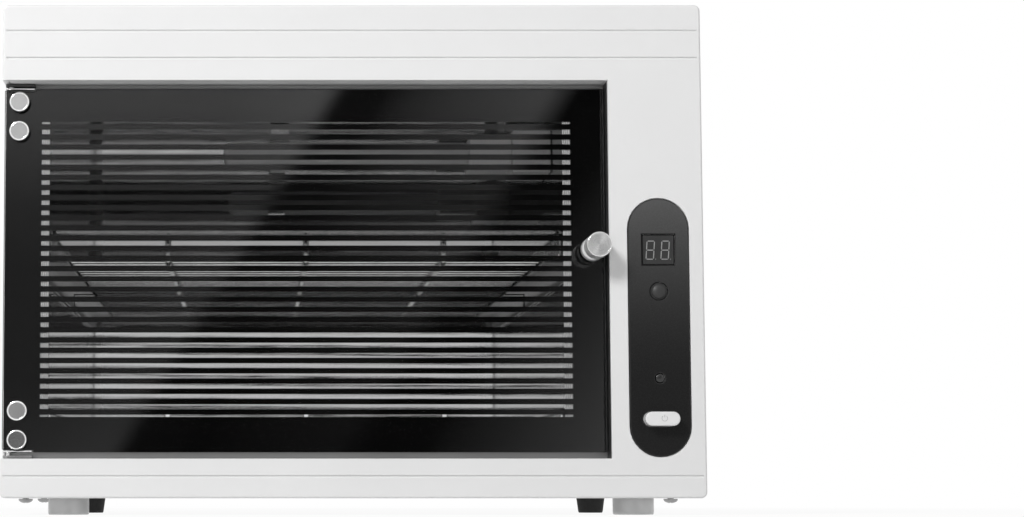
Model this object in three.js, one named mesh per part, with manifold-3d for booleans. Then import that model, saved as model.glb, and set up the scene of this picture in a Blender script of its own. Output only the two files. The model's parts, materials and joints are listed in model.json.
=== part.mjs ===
// UV sterilizer cabinet: a sheet-metal body with a polished chamber, a tinted door on two pivots,
// two wire shelves, a lamp under the ceiling and a control column on the right.
// Millimetres, +Z up. The front faces -Y. The origin is under the middle of the whole object.
import * as THREE from 'three';
import { mergeVertices } from 'three/addons/utils/BufferGeometryUtils.js';
import Module from 'manifold-3d';

const wasm = await Module();
wasm.setup();

// Overall sizes
const bodyWidth = 340;
const bodyDepth = 210;
const bodyHeight = 240;
const footHeight = 8;

// Gap between neighbouring pieces, and the overrun of every cut
const gap = 0.3;
const overrun = 1;

// Edges of the body, measured from the middle, the fascia's face and the table
const left = -bodyWidth / 2;
const right = bodyWidth / 2;
const bottom = footHeight;
const top = footHeight + bodyHeight;

// White front moulding
const fascia = {
  depth: 15.1,
  wall: 2.6,
  topBand: 37.2,
  bottomBand: 19,
  column: 45.5,
  corner: 3,
  grooveWidth: 1,
  grooveDepth: 0.7,
  grooveInset: 2,
  topGrooves: [13, 26.4],
  bottomGrooves: [10.4],
  bossRadius: 3,
};

// Opening of the door recess in the fascia
const recessTop = top - fascia.topBand;
const recessBottom = bottom + fascia.bottomBand;
const recessRight = right - fascia.column;

// Folded white cover with flanges under the body and behind it. A bend relief at each end
// of a rear flange parts it from the roof and from the flange below.
const cover = { sheet: 1.2, flange: 14, rearFlange: 12, bendRelief: 1.5 };
const coverFront = fascia.depth + gap;
const rearSheet = 1.2;
const coverBack = bodyDepth - rearSheet - gap;
const coverInside = right - cover.sheet;
const insideCorner = fascia.corner - cover.sheet;

// Inner front plate, whose lips line the door recess
const frame = { sheet: 1.2, mouthCorner: 4 };
const frameFront = fascia.depth + gap;
const frameBack = frameFront + frame.sheet;
const lipFront = fascia.wall + gap;

// Catch magnet through the front plate, in a block behind it
const magnet = { radius: 5, length: 5, holder: 16, holderDepth: 6, setBack: 0.4 };
const magnetFront = frameFront - magnet.setBack;

// Turned knob and the steel screw that holds it through the door
const knob = {
  edgeInset: 6.5,
  rise: 10,
  length: 25,
  collarRadius: 5.85,
  collarLength: 6,
  neckRadius: 4.1,
  capRadius: 6,
  capLength: 11.5,
  edge: 1,
  threadRadius: 1.5,
  threadDepth: 12,
  screwHeadRadius: 4,
  screwHead: 1.2,
  screwGap: 0.15,
  catchGap: 0.25,
};

// Pivot hinges at the door's left corners
const hinge = {
  edgeInset: 3,
  leafLength: 14.8,
  leafInset: 2.3,
  leafSheet: 1.2,
  leafHeight: 30,
  flangeSheet: 1.2,
  flangeWidth: 2.6,
  bracketSheet: 1.3,
  bracketDepth: 5.6,
  pinRadius: 0.9,
  screwInset: 7.3,
  screwDrops: [7.2, 21.6],
  screwRises: [6.2, 20.3],
  headRadius: 4.95,
  headThick: 1.4,
  headBevel: 0.5,
  shankRadius: 1.7,
};

// Door: tinted panel with a striped print on its back, between the two hinge brackets.
// The steel screw of its knob stops just short of the magnet.
const door = {
  thick: 3,
  leftInset: 0.2,
  rightGap: 0.5,
  topGap: 0.3,
  bottomGap: 1.4,
  print: 0.3,
  bond: 0.1,
};
const doorLeft = left + door.leftInset;
const doorRight = recessRight - door.rightGap;
const doorTop = recessTop - gap - hinge.bracketSheet - door.topGap;
const doorBottom = recessBottom + gap + hinge.bracketSheet + door.bottomGap;
const printBack = magnetFront - knob.catchGap - knob.screwHead - knob.screwGap;
const doorBack = printBack - door.print - door.bond;
const doorFront = doorBack - door.thick;
const stripe = { pitch: 5, opening: 2.3, margin: 15, endOpening: 1.1, endInset: 0.6, rise: 0.9 };
const hingeX = doorLeft + hinge.edgeInset;
const hingeY = doorFront + door.thick / 2;
const screwX = doorLeft + hinge.screwInset;
const knobX = doorRight - knob.edgeInset;
const knobZ = (recessTop + recessBottom) / 2 + knob.rise;

// Polished chamber: its mouth keeps a rim inside the recess, and its right wall clears the catch
const chamber = {
  leftRim: 18,
  topRim: 6.8,
  bottomRim: 7,
  catchGap: 0.5,
  rearGap: 0.9,
  sheet: 1,
};
const chamberLeft = left + chamber.leftRim;
const chamberRight = knobX - magnet.holder / 2 - chamber.catchGap - chamber.sheet;
const chamberTop = recessTop - chamber.topRim;
const chamberFloor = recessBottom + chamber.bottomRim;
const chamberBack = coverBack - cover.sheet - chamber.rearGap - chamber.sheet;
const chamberX = (chamberLeft + chamberRight) / 2;
const chamberY = (frameBack + chamberBack) / 2;

// Base plate inside the cover, and the channels that carry the liner
const base = { sheet: 1.5 };
const baseBottom = bottom + cover.sheet + gap;
const baseTop = baseBottom + base.sheet;
const support = { length: 150, width: 24, sheet: 1.2, sideInset: 50 };

// Micro switch under the catch
const microSwitch = {
  drop: 66,
  width: 6.4,
  height: 20,
  depth: 10,
  plungerRadius: 1.3,
  plungerDepth: 3,
  boreDepth: 5,
};
const microSwitchZ = knobZ - microSwitch.drop;

// Control panel in the column, and what works behind it
const panel = { shift: 0.75, rise: 19.8, width: 29.4, height: 124.9, thick: 1.2 };
const panelX = (recessRight + right) / 2 + panel.shift;
const panelBottom = bottom + panel.rise;
const panelTop = panelBottom + panel.height;
const displayFace = { drop: 24.9, width: 15.5, height: 14.6 };
const displayZ = panelTop - displayFace.drop;
const board = { setBack: 3, sheet: 1.6, width: 30, bottomInset: 10.2, topInset: 11.7 };
const boardFront = frameFront - board.setBack;
const boardBottom = panelBottom + board.bottomInset;
const boardTop = panelTop - board.topInset;
const setButton = {
  drop: 45.1,
  radius: 4.1,
  proud: 1.3,
  dome: 0.6,
  flangeRadius: 5.4,
  flange: 1,
  stemRadius: 1.4,
  stem: 1.4,
  travel: 0.6,
};
const setButtonZ = panelTop - setButton.drop;
const setSwitch = { side: 6.2, height: 2.4, plungerRadius: 1.5 };
const indicator = { rise: 37.8, radius: 2.2, proud: 0.3 };
const indicatorZ = panelBottom + indicator.rise;
const powerButton = {
  rise: 18.1,
  width: 16.6,
  height: 6.8,
  proud: 7,
  edge: 0.8,
  flange: 1.2,
  flangeRim: 1.2,
  stemRadius: 1.8,
  stem: 0.8,
  travel: 3,
};
const powerButtonZ = panelBottom + powerButton.rise;
const powerSwitch = { width: 13, height: 9 };

// Wire shelves
const shelf = {
  wireRadius: 1.1,
  runnerRadius: 1.5,
  rimRadius: 1.5,
  sideGap: 1.6,
  frontGap: 8,
  backGap: 6,
  fence: 14,
  corner: 4,
  pitch: 12,
  runnerPitch: 68,
  fuse: 0.15,
  upperDrop: 77.5,
};
const upperFloor = chamberTop - shelf.upperDrop;
const lowerFloor = chamberFloor + gap + 2 * shelf.runnerRadius - shelf.fuse + shelf.wireRadius;
const ledge = { width: 12, height: 10, sheet: 1.2, frontGap: 6, backGap: 3 };

// Twin-tube lamp in its socket on the chamber's right wall, and the clip that steadies it
const lamp = {
  forward: 6,
  drop: 15,
  tubeRadius: 6,
  tubePitch: 15,
  tubeLength: 129,
  bridgeRadius: 3.2,
  bridgeInset: 8,
  baseLength: 22,
  baseWidth: 32,
  baseHeight: 17,
  pinRadius: 1.1,
  pinLength: 7,
  pinPitch: 23,
};
const socket = { length: 20, width: 36, height: 22, spigotRadius: 4.5, spigotLength: 4 };
const clip = { tipInset: 29.9, width: 10, plateWidth: 30, sheet: 1.2 };
const lampY = chamberY - lamp.forward;
const lampZ = chamberTop - lamp.drop;
const socketFace = chamberRight - gap - socket.length;
const lampBaseRight = socketFace - gap;
const lampBaseLeft = lampBaseRight - lamp.baseLength;
const lampTip = lampBaseLeft - gap - lamp.tubeLength;
const clipX = lampTip + clip.tipInset;

// Electrical parts on the base plate, to the right of the chamber
const ballast = {
  sideGap: 10,
  y: 110,
  width: 38,
  length: 80,
  height: 30,
  footLength: 12,
  footSheet: 2,
};
const terminal = {
  sideGap: 21,
  y: 48,
  width: 26,
  length: 16,
  height: 12,
  cells: 4,
  slotWidth: 3,
  slotDepth: 4,
};
const lead = { radius: 1.5, bend: 12, switchRise: 60 };
const linerRight = chamberRight + chamber.sheet;
const ballastX = linerRight + ballast.sideGap + ballast.width / 2;
const terminalX = linerRight + terminal.sideGap + terminal.width / 2;

// Feet and fasteners, by their distances from the body's edges
const frontFoot = { sideInset: 31.5, frontInset: 27, radius: 10, edge: 1 };
const rearFoot = { sideInset: 33, rearInset: 47, topRadius: 7.8, bottomRadius: 6.7, edge: 0.8 };
const baseScrew = { frontInset: 61, rearInset: 47, headRadius: 3.6, head: 2.2, shankRadius: 1.6, reach: 1.5 };
const rearScrew = { inset: 8, rise: 14, headRadius: 3.4, head: 1.8, shankRadius: 1.4, reach: 2 };
const vent = { count: 9, length: 70, opening: 4, pitch: 9, sideInset: 120, topInset: 56 };
const gland = {
  sideInset: 30,
  rise: 24,
  boreRadius: 3.6,
  bodyRadius: 6,
  flangeRadius: 9,
  flange: 2.4,
  tail: 8,
  inner: 9,
};
const glandX = right - gland.sideInset;
const glandZ = bottom + gland.rise;

// Facets of round shapes
const fineSides = 32;
const midSides = 20;
const smallSides = 12;
const wireSides = 6;
const leadSides = 8;
const cornerSteps = 4;

// Materials
function material(color, roughness, metalness) {
  return new THREE.MeshStandardMaterial({ color, roughness, metalness });
}
const whitePaint = material(0xeeeeee, 0.45, 0);
const whitePlastic = material(0xf0f0f0, 0.4, 0);
const greyMetal = material(0x9a9a9a, 0.35, 0.9);
const mirrorSteel = material(0xc8c8c8, 0.1, 1);
const brightSteel = material(0xc0c0c0, 0.25, 1);
const blackPlastic = material(0x262626, 0.35, 0);
const blackPrint = material(0x0a0a0a, 0.5, 0);
const blackRubber = material(0x1c1c1c, 0.8, 0);
const greyPlastic = material(0x8c8c8c, 0.5, 0);
const darkMagnet = material(0x33363a, 0.5, 0.5);
const boardGreen = material(0x2f4a3a, 0.6, 0);
const tintedPanel = material(0x1a1a1a, 0.05, 0);
const lampGlass = material(0xe8e8ec, 0.1, 0);

// Solids from three.js geometry, and back
function toSolid(geometry) {
  geometry.deleteAttribute('normal');
  geometry.deleteAttribute('uv');
  const merged = mergeVertices(geometry);
  const vertProperties = new Float32Array(merged.attributes.position.array);
  const triVerts = new Uint32Array(merged.index.array);
  return new wasm.Manifold(new wasm.Mesh({ numProp: 3, vertProperties, triVerts }));
}

function toGeometry(solid) {
  const { vertProperties, triVerts } = solid.getMesh();
  const geometry = new THREE.BufferGeometry();
  geometry.setAttribute('position', new THREE.BufferAttribute(vertProperties, 3));
  geometry.setIndex(new THREE.BufferAttribute(triVerts, 1));
  return geometry;
}

function join(solids) {
  return solids.reduce((whole, solid) => whole.add(solid));
}

function cut(solid, cutters) {
  return cutters.reduce((whole, cutter) => whole.subtract(cutter), solid);
}

// A span of a given size about a middle
function about(middle, size) {
  return [middle - size / 2, middle + size / 2];
}

// A box from its low and high X, Y and Z
function box([x0, x1], [y0, y1], [z0, z1]) {
  const geometry = new THREE.BoxGeometry(x1 - x0, y1 - y0, z1 - z0);
  geometry.translate((x0 + x1) / 2, (y0 + y1) / 2, (z0 + z1) / 2);
  return toSolid(geometry);
}

// A solid turned from a [radius, height] profile about an axis through a place
function turned(profile, axis, place, sides) {
  const outline = profile.map(([radius, height]) => new THREE.Vector2(radius, height));
  const geometry = new THREE.LatheGeometry(outline, sides);
  const along = new THREE.Vector3(...axis);
  const turn = new THREE.Quaternion().setFromUnitVectors(new THREE.Vector3(0, 1, 0), along);
  geometry.applyQuaternion(turn);
  geometry.translate(...place);
  return toSolid(geometry);
}

const alongX = [1, 0, 0];
const alongY = [0, 1, 0];
const alongZ = [0, 0, 1];

// A round rod between two heights along an axis, through a place with zero on that axis
function rod(radius, [from, to], axis, place, sides) {
  return turned([[0, from], [radius, from], [radius, to], [0, to]], axis, place, sides);
}

// A rounded rectangle in X and Z
function roundedOutline([x0, x1], [z0, z1], radius) {
  const outline = new THREE.Shape();
  outline.moveTo(x0 + radius, z0);
  outline.lineTo(x1 - radius, z0);
  outline.absarc(x1 - radius, z0 + radius, radius, -Math.PI / 2, 0);
  outline.lineTo(x1, z1 - radius);
  outline.absarc(x1 - radius, z1 - radius, radius, 0, Math.PI / 2);
  outline.lineTo(x0 + radius, z1);
  outline.absarc(x0 + radius, z1 - radius, radius, Math.PI / 2, Math.PI);
  outline.lineTo(x0, z0 + radius);
  outline.absarc(x0 + radius, z0 + radius, radius, Math.PI, 3 * Math.PI / 2);
  return outline;
}

// An X and Z outline made solid between two depths
function slab(outline, [y0, y1], curveSegments = cornerSteps) {
  const geometry = new THREE.ExtrudeGeometry(outline, {
    depth: y1 - y0,
    bevelEnabled: false,
    curveSegments,
  });
  geometry.rotateX(Math.PI / 2);
  geometry.translate(0, y1, 0);
  return toSolid(geometry);
}

// A slab whose outline is a pill about a middle
function pill(x, z, width, height, depths) {
  const radius = Math.min(width, height) / 2;
  return slab(roundedOutline(about(x, width), about(z, height), radius), depths);
}

// Points of a path with each inner corner rounded off
function roundCorners(points, radius, steps, closed = false) {
  const places = points.map((point) => new THREE.Vector3(...point));
  const rounded = [];
  places.forEach((corner, index) => {
    const isEnd = index === 0 || index === places.length - 1;
    if (isEnd && !closed) {
      rounded.push(corner);
      return;
    }
    const before = places[(index - 1 + places.length) % places.length];
    const after = places[(index + 1) % places.length];
    const start = corner.clone().add(before.clone().sub(corner).setLength(radius));
    const end = corner.clone().add(after.clone().sub(corner).setLength(radius));
    const bend = new THREE.QuadraticBezierCurve3(start, corner, end);
    rounded.push(...bend.getPoints(steps));
  });
  return rounded;
}

// A wire of a given radius along points, open with flat ends or closed on itself
function wire(points, radius, sides, closed = false) {
  const count = points.length;
  const positions = [];
  const indices = [];
  const tangents = points.map((point, index) => {
    const before = closed ? points[(index - 1 + count) % count] : points[Math.max(index - 1, 0)];
    const after = closed ? points[(index + 1) % count] : points[Math.min(index + 1, count - 1)];
    return after.clone().sub(before).normalize();
  });
  const flat = Math.abs(tangents[0].z) < 0.5 ? new THREE.Vector3(0, 0, 1) : new THREE.Vector3(0, 1, 0);
  let across = flat.clone();
  points.forEach((point, index) => {
    const tangent = tangents[index];
    across = across.clone().addScaledVector(tangent, -across.dot(tangent)).normalize();
    const beside = tangent.clone().cross(across);
    for (let side = 0; side < sides; side += 1) {
      const angle = 2 * Math.PI * side / sides;
      const place = point.clone();
      place.addScaledVector(across, radius * Math.cos(angle));
      place.addScaledVector(beside, radius * Math.sin(angle));
      positions.push(place.x, place.y, place.z);
    }
  });
  const rings = closed ? count : count - 1;
  for (let ring = 0; ring < rings; ring += 1) {
    const next = (ring + 1) % count;
    for (let side = 0; side < sides; side += 1) {
      const beside = (side + 1) % sides;
      const a = ring * sides + side;
      const b = ring * sides + beside;
      const c = next * sides + beside;
      const d = next * sides + side;
      indices.push(a, b, c, a, c, d);
    }
  }
  if (!closed) {
    const last = (count - 1) * sides;
    for (let side = 1; side < sides - 1; side += 1) {
      indices.push(0, side + 1, side);
      indices.push(last, last + side, last + side + 1);
    }
  }
  const geometry = new THREE.BufferGeometry();
  geometry.setAttribute('position', new THREE.BufferAttribute(new Float32Array(positions), 3));
  geometry.setIndex(indices);
  return toSolid(geometry);
}

// The white moulding: three bands with side walls, grooves, a pocket and holes for the panel
function makeFascia() {
  const outline = new THREE.Shape();
  const round = fascia.corner;
  outline.moveTo(left, bottom + round);
  outline.absarc(left + round, bottom + round, round, Math.PI, 3 * Math.PI / 2);
  outline.lineTo(right - round, bottom);
  outline.absarc(right - round, bottom + round, round, -Math.PI / 2, 0);
  outline.lineTo(right, top - round);
  outline.absarc(right - round, top - round, round, 0, Math.PI / 2);
  outline.lineTo(left + round, top);
  outline.absarc(left + round, top - round, round, Math.PI / 2, Math.PI);
  outline.lineTo(left, recessTop);
  outline.lineTo(recessRight, recessTop);
  outline.lineTo(recessRight, recessBottom);
  outline.lineTo(left, recessBottom);
  const whole = slab(outline, [0, fascia.depth]);
  const inner = roundedOutline(
    [left + fascia.wall, right - fascia.wall],
    [bottom + fascia.wall, top - fascia.wall],
    fascia.corner,
  );
  const hollow = slab(inner, [fascia.wall, fascia.depth + overrun]);
  const bosses = [boardBottom, boardTop].map((z) => {
    const lengths = [fascia.wall - gap, boardFront - gap];
    const inward = z === boardTop ? -1 : 1;
    const places = [panelX - board.width / 2, panelX + board.width / 2];
    return places.map((x, side) => {
      const shift = (side === 0 ? 1 : -1) * fascia.bossRadius;
      const place = [x + shift, 0, z + inward * fascia.bossRadius];
      return rod(fascia.bossRadius, lengths, alongY, place, smallSides);
    });
  }).flat();
  return cut(join([cut(whole, [hollow]), ...bosses]), [...grooveCuts(), ...panelCuts()]);
}

function grooveCuts() {
  const heights = [
    ...fascia.topGrooves.map((drop) => top - drop),
    ...fascia.bottomGrooves.map((rise) => bottom + rise),
  ];
  const across = [left + fascia.grooveInset, right - fascia.grooveInset];
  return heights.map((z) => box(across, [-overrun, fascia.grooveDepth], about(z, fascia.grooveWidth)));
}

function panelCuts() {
  const through = [-overrun, fascia.wall + overrun];
  const middle = panelBottom + panel.height / 2;
  const wide = 2 * gap;
  return [
    pill(panelX, middle, panel.width + wide, panel.height + wide, [-overrun, panel.thick + gap]),
    box(about(panelX, displayFace.width + wide), through, about(displayZ, displayFace.height + wide)),
    rod(setButton.radius + gap, through, alongY, [panelX, 0, setButtonZ], midSides),
    rod(indicator.radius + gap, through, alongY, [panelX, 0, indicatorZ], smallSides),
    pill(panelX, powerButtonZ, powerButton.width + wide, powerButton.height + wide, through),
  ];
}

// The black panel plate with the holes of what shows through it
function makePanel() {
  const through = [-overrun, panel.thick + overrun];
  const middle = panelBottom + panel.height / 2;
  const wide = 2 * gap;
  return cut(pill(panelX, middle, panel.width, panel.height, [0, panel.thick]), [
    box(about(panelX, displayFace.width + wide), through, about(displayZ, displayFace.height + wide)),
    rod(setButton.radius + gap, through, alongY, [panelX, 0, setButtonZ], midSides),
    rod(indicator.radius + gap, through, alongY, [panelX, 0, indicatorZ], smallSides),
    pill(panelX, powerButtonZ, powerButton.width + wide, powerButton.height + wide, through),
  ]);
}

// The folded cover: roof, two sides, flanges under the body and behind it
function makeCover() {
  const depths = [coverFront, coverBack];
  const past = [coverFront - overrun, coverBack + overrun];
  const skin = roundedOutline([left, right], [bottom, top], fascia.corner);
  const inside = roundedOutline(
    [-coverInside, coverInside],
    [bottom + cover.sheet, top - cover.sheet],
    insideCorner,
  );
  const opening = [left + cover.flange, right - cover.flange];
  const rearDepths = [coverBack - cover.sheet, coverBack];
  const endInset = cover.sheet + cover.bendRelief;
  const rearFlanges = [-1, 1].map((side) => {
    const outer = side * coverInside;
    const inner = side * (coverInside - cover.rearFlange);
    const across = [Math.min(outer, inner) - gap, Math.max(outer, inner) + gap];
    return box(across, rearDepths, [bottom + endInset, top - endInset]);
  });
  const tube = cut(slab(skin, depths), [
    slab(inside, past),
    box(opening, past, [bottom - overrun, bottom + cover.sheet + overrun]),
  ]);
  const body = join([tube, ...rearFlanges.map((flange) => flange.intersect(slab(skin, depths)))]);
  return cut(body, [...baseScrewHoles(), ...rearScrewHoles()]);
}

function baseScrewPlaces() {
  const across = right - cover.flange / 2;
  return [baseScrew.frontInset, bodyDepth - baseScrew.rearInset].flatMap((y) => [[-across, y], [across, y]]);
}

function baseScrewHoles() {
  const lengths = [bottom - overrun, baseTop + overrun];
  const radius = baseScrew.shankRadius + gap;
  return baseScrewPlaces().map(([x, y]) => rod(radius, lengths, alongZ, [x, y, 0], smallSides));
}

function rearScrewPlaces() {
  const across = right - rearScrew.inset;
  return [bottom + rearScrew.rise, top - rearScrew.rise].flatMap((z) => [[-across, z], [across, z]]);
}

function rearScrewHoles() {
  const lengths = [coverBack - cover.sheet - overrun, bodyDepth + overrun];
  const radius = rearScrew.shankRadius + gap;
  return rearScrewPlaces().map(([x, z]) => rod(radius, lengths, alongY, [x, 0, z], smallSides));
}

// The front plate with the chamber's mouth, a window behind the panel and the lips of the recess
function makeFrame() {
  const side = coverInside - gap;
  const outer = roundedOutline([-side, side], [baseBottom, top - cover.sheet - gap], insideCorner);
  const plate = slab(outer, [frameFront, frameBack]);
  const lipDepths = [lipFront, frameFront + frame.sheet / 2];
  const lipLeft = left + fascia.wall + gap;
  const lipRight = recessRight + frame.sheet;
  const lips = [
    box([lipLeft, lipRight], lipDepths, [recessTop, recessTop + frame.sheet]),
    box([lipLeft, lipRight], lipDepths, [recessBottom - frame.sheet, recessBottom]),
    box([recessRight, lipRight], lipDepths, [recessBottom - frame.sheet, recessTop + frame.sheet]),
  ];
  const through = [frameFront - overrun, frameBack + overrun];
  const mouth = roundedOutline(
    [chamberLeft, chamberRight],
    [chamberFloor, chamberTop],
    frame.mouthCorner,
  );
  const window = roundedOutline(
    about(panelX, board.width),
    [boardBottom, boardTop],
    frame.mouthCorner,
  );
  return cut(join([plate, ...lips]), [
    slab(mouth, through),
    slab(window, through),
    rod(magnet.radius + gap, through, alongY, [knobX, 0, knobZ], midSides),
    rod(microSwitch.plungerRadius + gap, through, alongY, [knobX, 0, microSwitchZ], smallSides),
  ]);
}

function makeBasePlate() {
  const side = coverInside - insideCorner;
  const rear = coverBack - cover.sheet - gap;
  return cut(box([-side, side], [frameBack + gap, rear], [baseBottom, baseTop]), baseScrewHoles());
}

// The rear cover with a stack of vent slots, screw holes and the gland's hole
function makeRearCover() {
  const plate = slab(
    roundedOutline([left, right], [bottom, top], fascia.corner),
    [bodyDepth - rearSheet, bodyDepth],
  );
  const through = [bodyDepth - rearSheet - overrun, bodyDepth + overrun];
  const vents = Array.from({ length: vent.count }, (_, index) => {
    const z = top - vent.topInset - index * vent.pitch;
    return box(about(right - vent.sideInset, vent.length), through, about(z, vent.opening));
  });
  const glandHole = rod(gland.bodyRadius + gap, through, alongY, [glandX, 0, glandZ], midSides);
  return cut(plate, [...vents, glandHole, ...rearScrewHoles()]);
}

// The liner: a five-sided box with a hole for the socket's spigot
function makeLiner() {
  const sheet = chamber.sheet;
  const outside = box(
    [chamberLeft - sheet, chamberRight + sheet],
    [frameBack + gap, chamberBack + sheet],
    [chamberFloor - sheet, chamberTop + sheet],
  );
  const inside = box(
    [chamberLeft, chamberRight],
    [frameBack - overrun, chamberBack],
    [chamberFloor, chamberTop],
  );
  const reach = [chamberRight - overrun, chamberRight + sheet + overrun];
  const spigotHole = rod(socket.spigotRadius + gap, reach, alongX, [0, lampY, lampZ], midSides);
  return cut(outside, [inside, spigotHole]);
}

// A channel under the liner, open below
function makeSupport(side) {
  const x = side < 0 ? chamberLeft + support.sideInset : chamberRight - support.sideInset;
  const heights = [baseTop + gap, chamberFloor - chamber.sheet - gap];
  const channel = box(about(x, support.width), about(chamberY, support.length), heights);
  const hollow = box(
    about(x, support.width - 2 * support.sheet),
    about(chamberY, support.length + 2 * overrun),
    [heights[0] - overrun, heights[1] - support.sheet],
  );
  return cut(channel, [hollow]);
}

// An angle on the chamber's side wall that carries the upper shelf
function makeLedge(side) {
  const wall = side < 0 ? chamberLeft + gap : chamberRight - gap;
  const ledgeTop = upperFloor - shelf.wireRadius - gap;
  const depths = [frameBack + ledge.frontGap, chamberBack - ledge.backGap];
  const reach = (length) => {
    const inner = wall - side * length;
    return [Math.min(wall, inner), Math.max(wall, inner)];
  };
  return join([
    box(reach(ledge.width), depths, [ledgeTop - ledge.sheet, ledgeTop]),
    box(reach(ledge.sheet), depths, [ledgeTop - ledge.height, ledgeTop]),
  ]);
}

// A wire shelf: cross wires and runners that turn up into a fence under one rim
function makeShelf(floorZ) {
  const x0 = chamberLeft + shelf.sideGap + shelf.rimRadius;
  const x1 = chamberRight - shelf.sideGap - shelf.rimRadius;
  const y0 = frameBack + shelf.frontGap;
  const y1 = chamberBack - shelf.backGap;
  const rimZ = floorZ + shelf.fence - shelf.rimRadius;
  const runnerZ = floorZ - shelf.wireRadius - shelf.runnerRadius + shelf.fuse;
  const rimCorners = [[x0, y0, rimZ], [x1, y0, rimZ], [x1, y1, rimZ], [x0, y1, rimZ]];
  const rim = wire(roundCorners(rimCorners, shelf.corner, 2, true), shelf.rimRadius, wireSides, true);
  const count = Math.floor((y1 - y0 - 2 * shelf.corner) / shelf.pitch);
  const firstY = (y0 + y1 - count * shelf.pitch) / 2;
  const crossWires = Array.from({ length: count + 1 }, (_, index) => {
    const y = firstY + index * shelf.pitch;
    const path = [[x0, y, rimZ], [x0, y, floorZ], [x1, y, floorZ], [x1, y, rimZ]];
    return wire(roundCorners(path, shelf.corner, 1), shelf.wireRadius, wireSides);
  });
  const runners = [-1, 0, 1].map((side) => {
    const x = chamberX + side * shelf.runnerPitch;
    const path = [[x, y0, rimZ], [x, y0, runnerZ], [x, y1, runnerZ], [x, y1, rimZ]];
    return wire(roundCorners(path, shelf.corner, 1), shelf.runnerRadius, wireSides);
  });
  return join([rim, ...crossWires, ...runners]);
}

// The lamp: two tubes joined by a short bridge near their tips
function makeLampTube() {
  const tubeEnd = lampBaseLeft - gap;
  const dome = lamp.tubeRadius / 3;
  const tubes = [-1, 1].map((side) => {
    const profile = [
      [0, lampTip],
      [lamp.tubeRadius - dome, lampTip],
      [lamp.tubeRadius, lampTip + dome],
      [lamp.tubeRadius, tubeEnd],
      [0, tubeEnd],
    ];
    return turned(profile, alongX, [0, lampY + side * lamp.tubePitch / 2, lampZ], smallSides);
  });
  const bridgePlace = [lampTip + lamp.bridgeInset, 0, lampZ];
  const bridge = rod(lamp.bridgeRadius, about(lampY, lamp.tubePitch), alongY, bridgePlace, smallSides);
  return join([...tubes, bridge]);
}

function makeLampBase() {
  const across = [lampBaseLeft, lampBaseRight];
  const block = box(across, about(lampY, lamp.baseWidth), about(lampZ, lamp.baseHeight));
  const pins = [-1, 1].map((side) => {
    const middle = [0, lampY + side * lamp.pinPitch / 2, lampZ];
    const lengths = [lampBaseRight - overrun, lampBaseRight + lamp.pinLength];
    return rod(lamp.pinRadius, lengths, alongX, middle, smallSides);
  });
  return join([block, ...pins]);
}

function makeLampSocket() {
  const socketBack = chamberRight - gap;
  const block = box([socketFace, socketBack], about(lampY, socket.width), about(lampZ, socket.height));
  const reach = [socketBack - overrun, linerRight + socket.spigotLength];
  const spigot = rod(socket.spigotRadius, reach, alongX, [0, lampY, lampZ], midSides);
  const pinHoles = [-1, 1].map((side) => {
    const middle = [0, lampY + side * lamp.pinPitch / 2, lampZ];
    const lengths = [socketFace - overrun, socketFace + lamp.pinLength + gap];
    return rod(lamp.pinRadius + gap, lengths, alongX, middle, smallSides);
  });
  return cut(join([block, spigot]), pinHoles);
}

// The clip: a plate under the ceiling, a stem between the tubes and a bar under them
function makeLampClip() {
  const across = about(clipX, clip.width);
  const plateZ = [chamberTop - gap - clip.sheet, chamberTop - gap];
  const barTop = lampZ - lamp.tubeRadius - gap;
  const barWidth = lamp.tubePitch + lamp.tubeRadius;
  return join([
    box(across, about(lampY, clip.plateWidth), plateZ),
    box(across, about(lampY, clip.sheet), [barTop - clip.sheet, chamberTop - gap]),
    box(across, about(lampY, barWidth), [barTop - clip.sheet, barTop]),
  ]);
}

// A ballast: a wound core between two mounting feet
function makeBallast() {
  const floor = baseTop + gap;
  const footLength = ballast.length + 2 * ballast.footLength;
  const core = box(
    about(ballastX, ballast.width),
    about(ballast.y, ballast.length),
    [floor, floor + ballast.height],
  );
  const feet = box(
    about(ballastX, ballast.width / 2),
    about(ballast.y, footLength),
    [floor, floor + ballast.footSheet],
  );
  return join([core, feet]);
}

function makeTerminalBlock() {
  const floor = baseTop + gap;
  const block = box(
    about(terminalX, terminal.width),
    about(terminal.y, terminal.length),
    [floor, floor + terminal.height],
  );
  const pitch = terminal.width / terminal.cells;
  const slots = Array.from({ length: terminal.cells - 1 }, (_, index) => {
    const x = terminalX - terminal.width / 2 + (index + 1) * pitch;
    const heights = [floor + terminal.height - terminal.slotDepth, floor + terminal.height + overrun];
    return box(about(x, terminal.slotWidth), about(terminal.y, terminal.length + 2 * overrun), heights);
  });
  return cut(block, slots);
}

function makeLampLead() {
  const start = baseTop + gap + ballast.height + gap;
  const end = linerRight + socket.spigotLength + gap;
  const path = [[ballastX, lampY, start], [ballastX, lampY, lampZ], [end, lampY, lampZ]];
  return wire(roundCorners(path, lead.bend, cornerSteps), lead.radius, leadSides);
}

function makeSwitchLead() {
  const pitch = terminal.width / terminal.cells;
  const x = terminalX + pitch / 2;
  const start = baseTop + gap + terminal.height + gap;
  const end = boardFront + board.sheet + gap;
  const path = [[x, terminal.y, start], [x, terminal.y, lead.switchRise], [x, end, lead.switchRise]];
  return wire(roundCorners(path, lead.bend, cornerSteps), lead.radius, leadSides);
}

// The board behind the panel and what stands on it
function makeBoard() {
  return box(
    about(panelX, board.width),
    [boardFront, boardFront + board.sheet],
    [boardBottom, boardTop],
  );
}

function makeDisplayWindow() {
  return box(about(panelX, displayFace.width), [0, panel.thick], about(displayZ, displayFace.height));
}

function makeDisplayModule() {
  const depths = [panel.thick + gap, boardFront - gap];
  return box(about(panelX, displayFace.width), depths, about(displayZ, displayFace.height));
}

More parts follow.
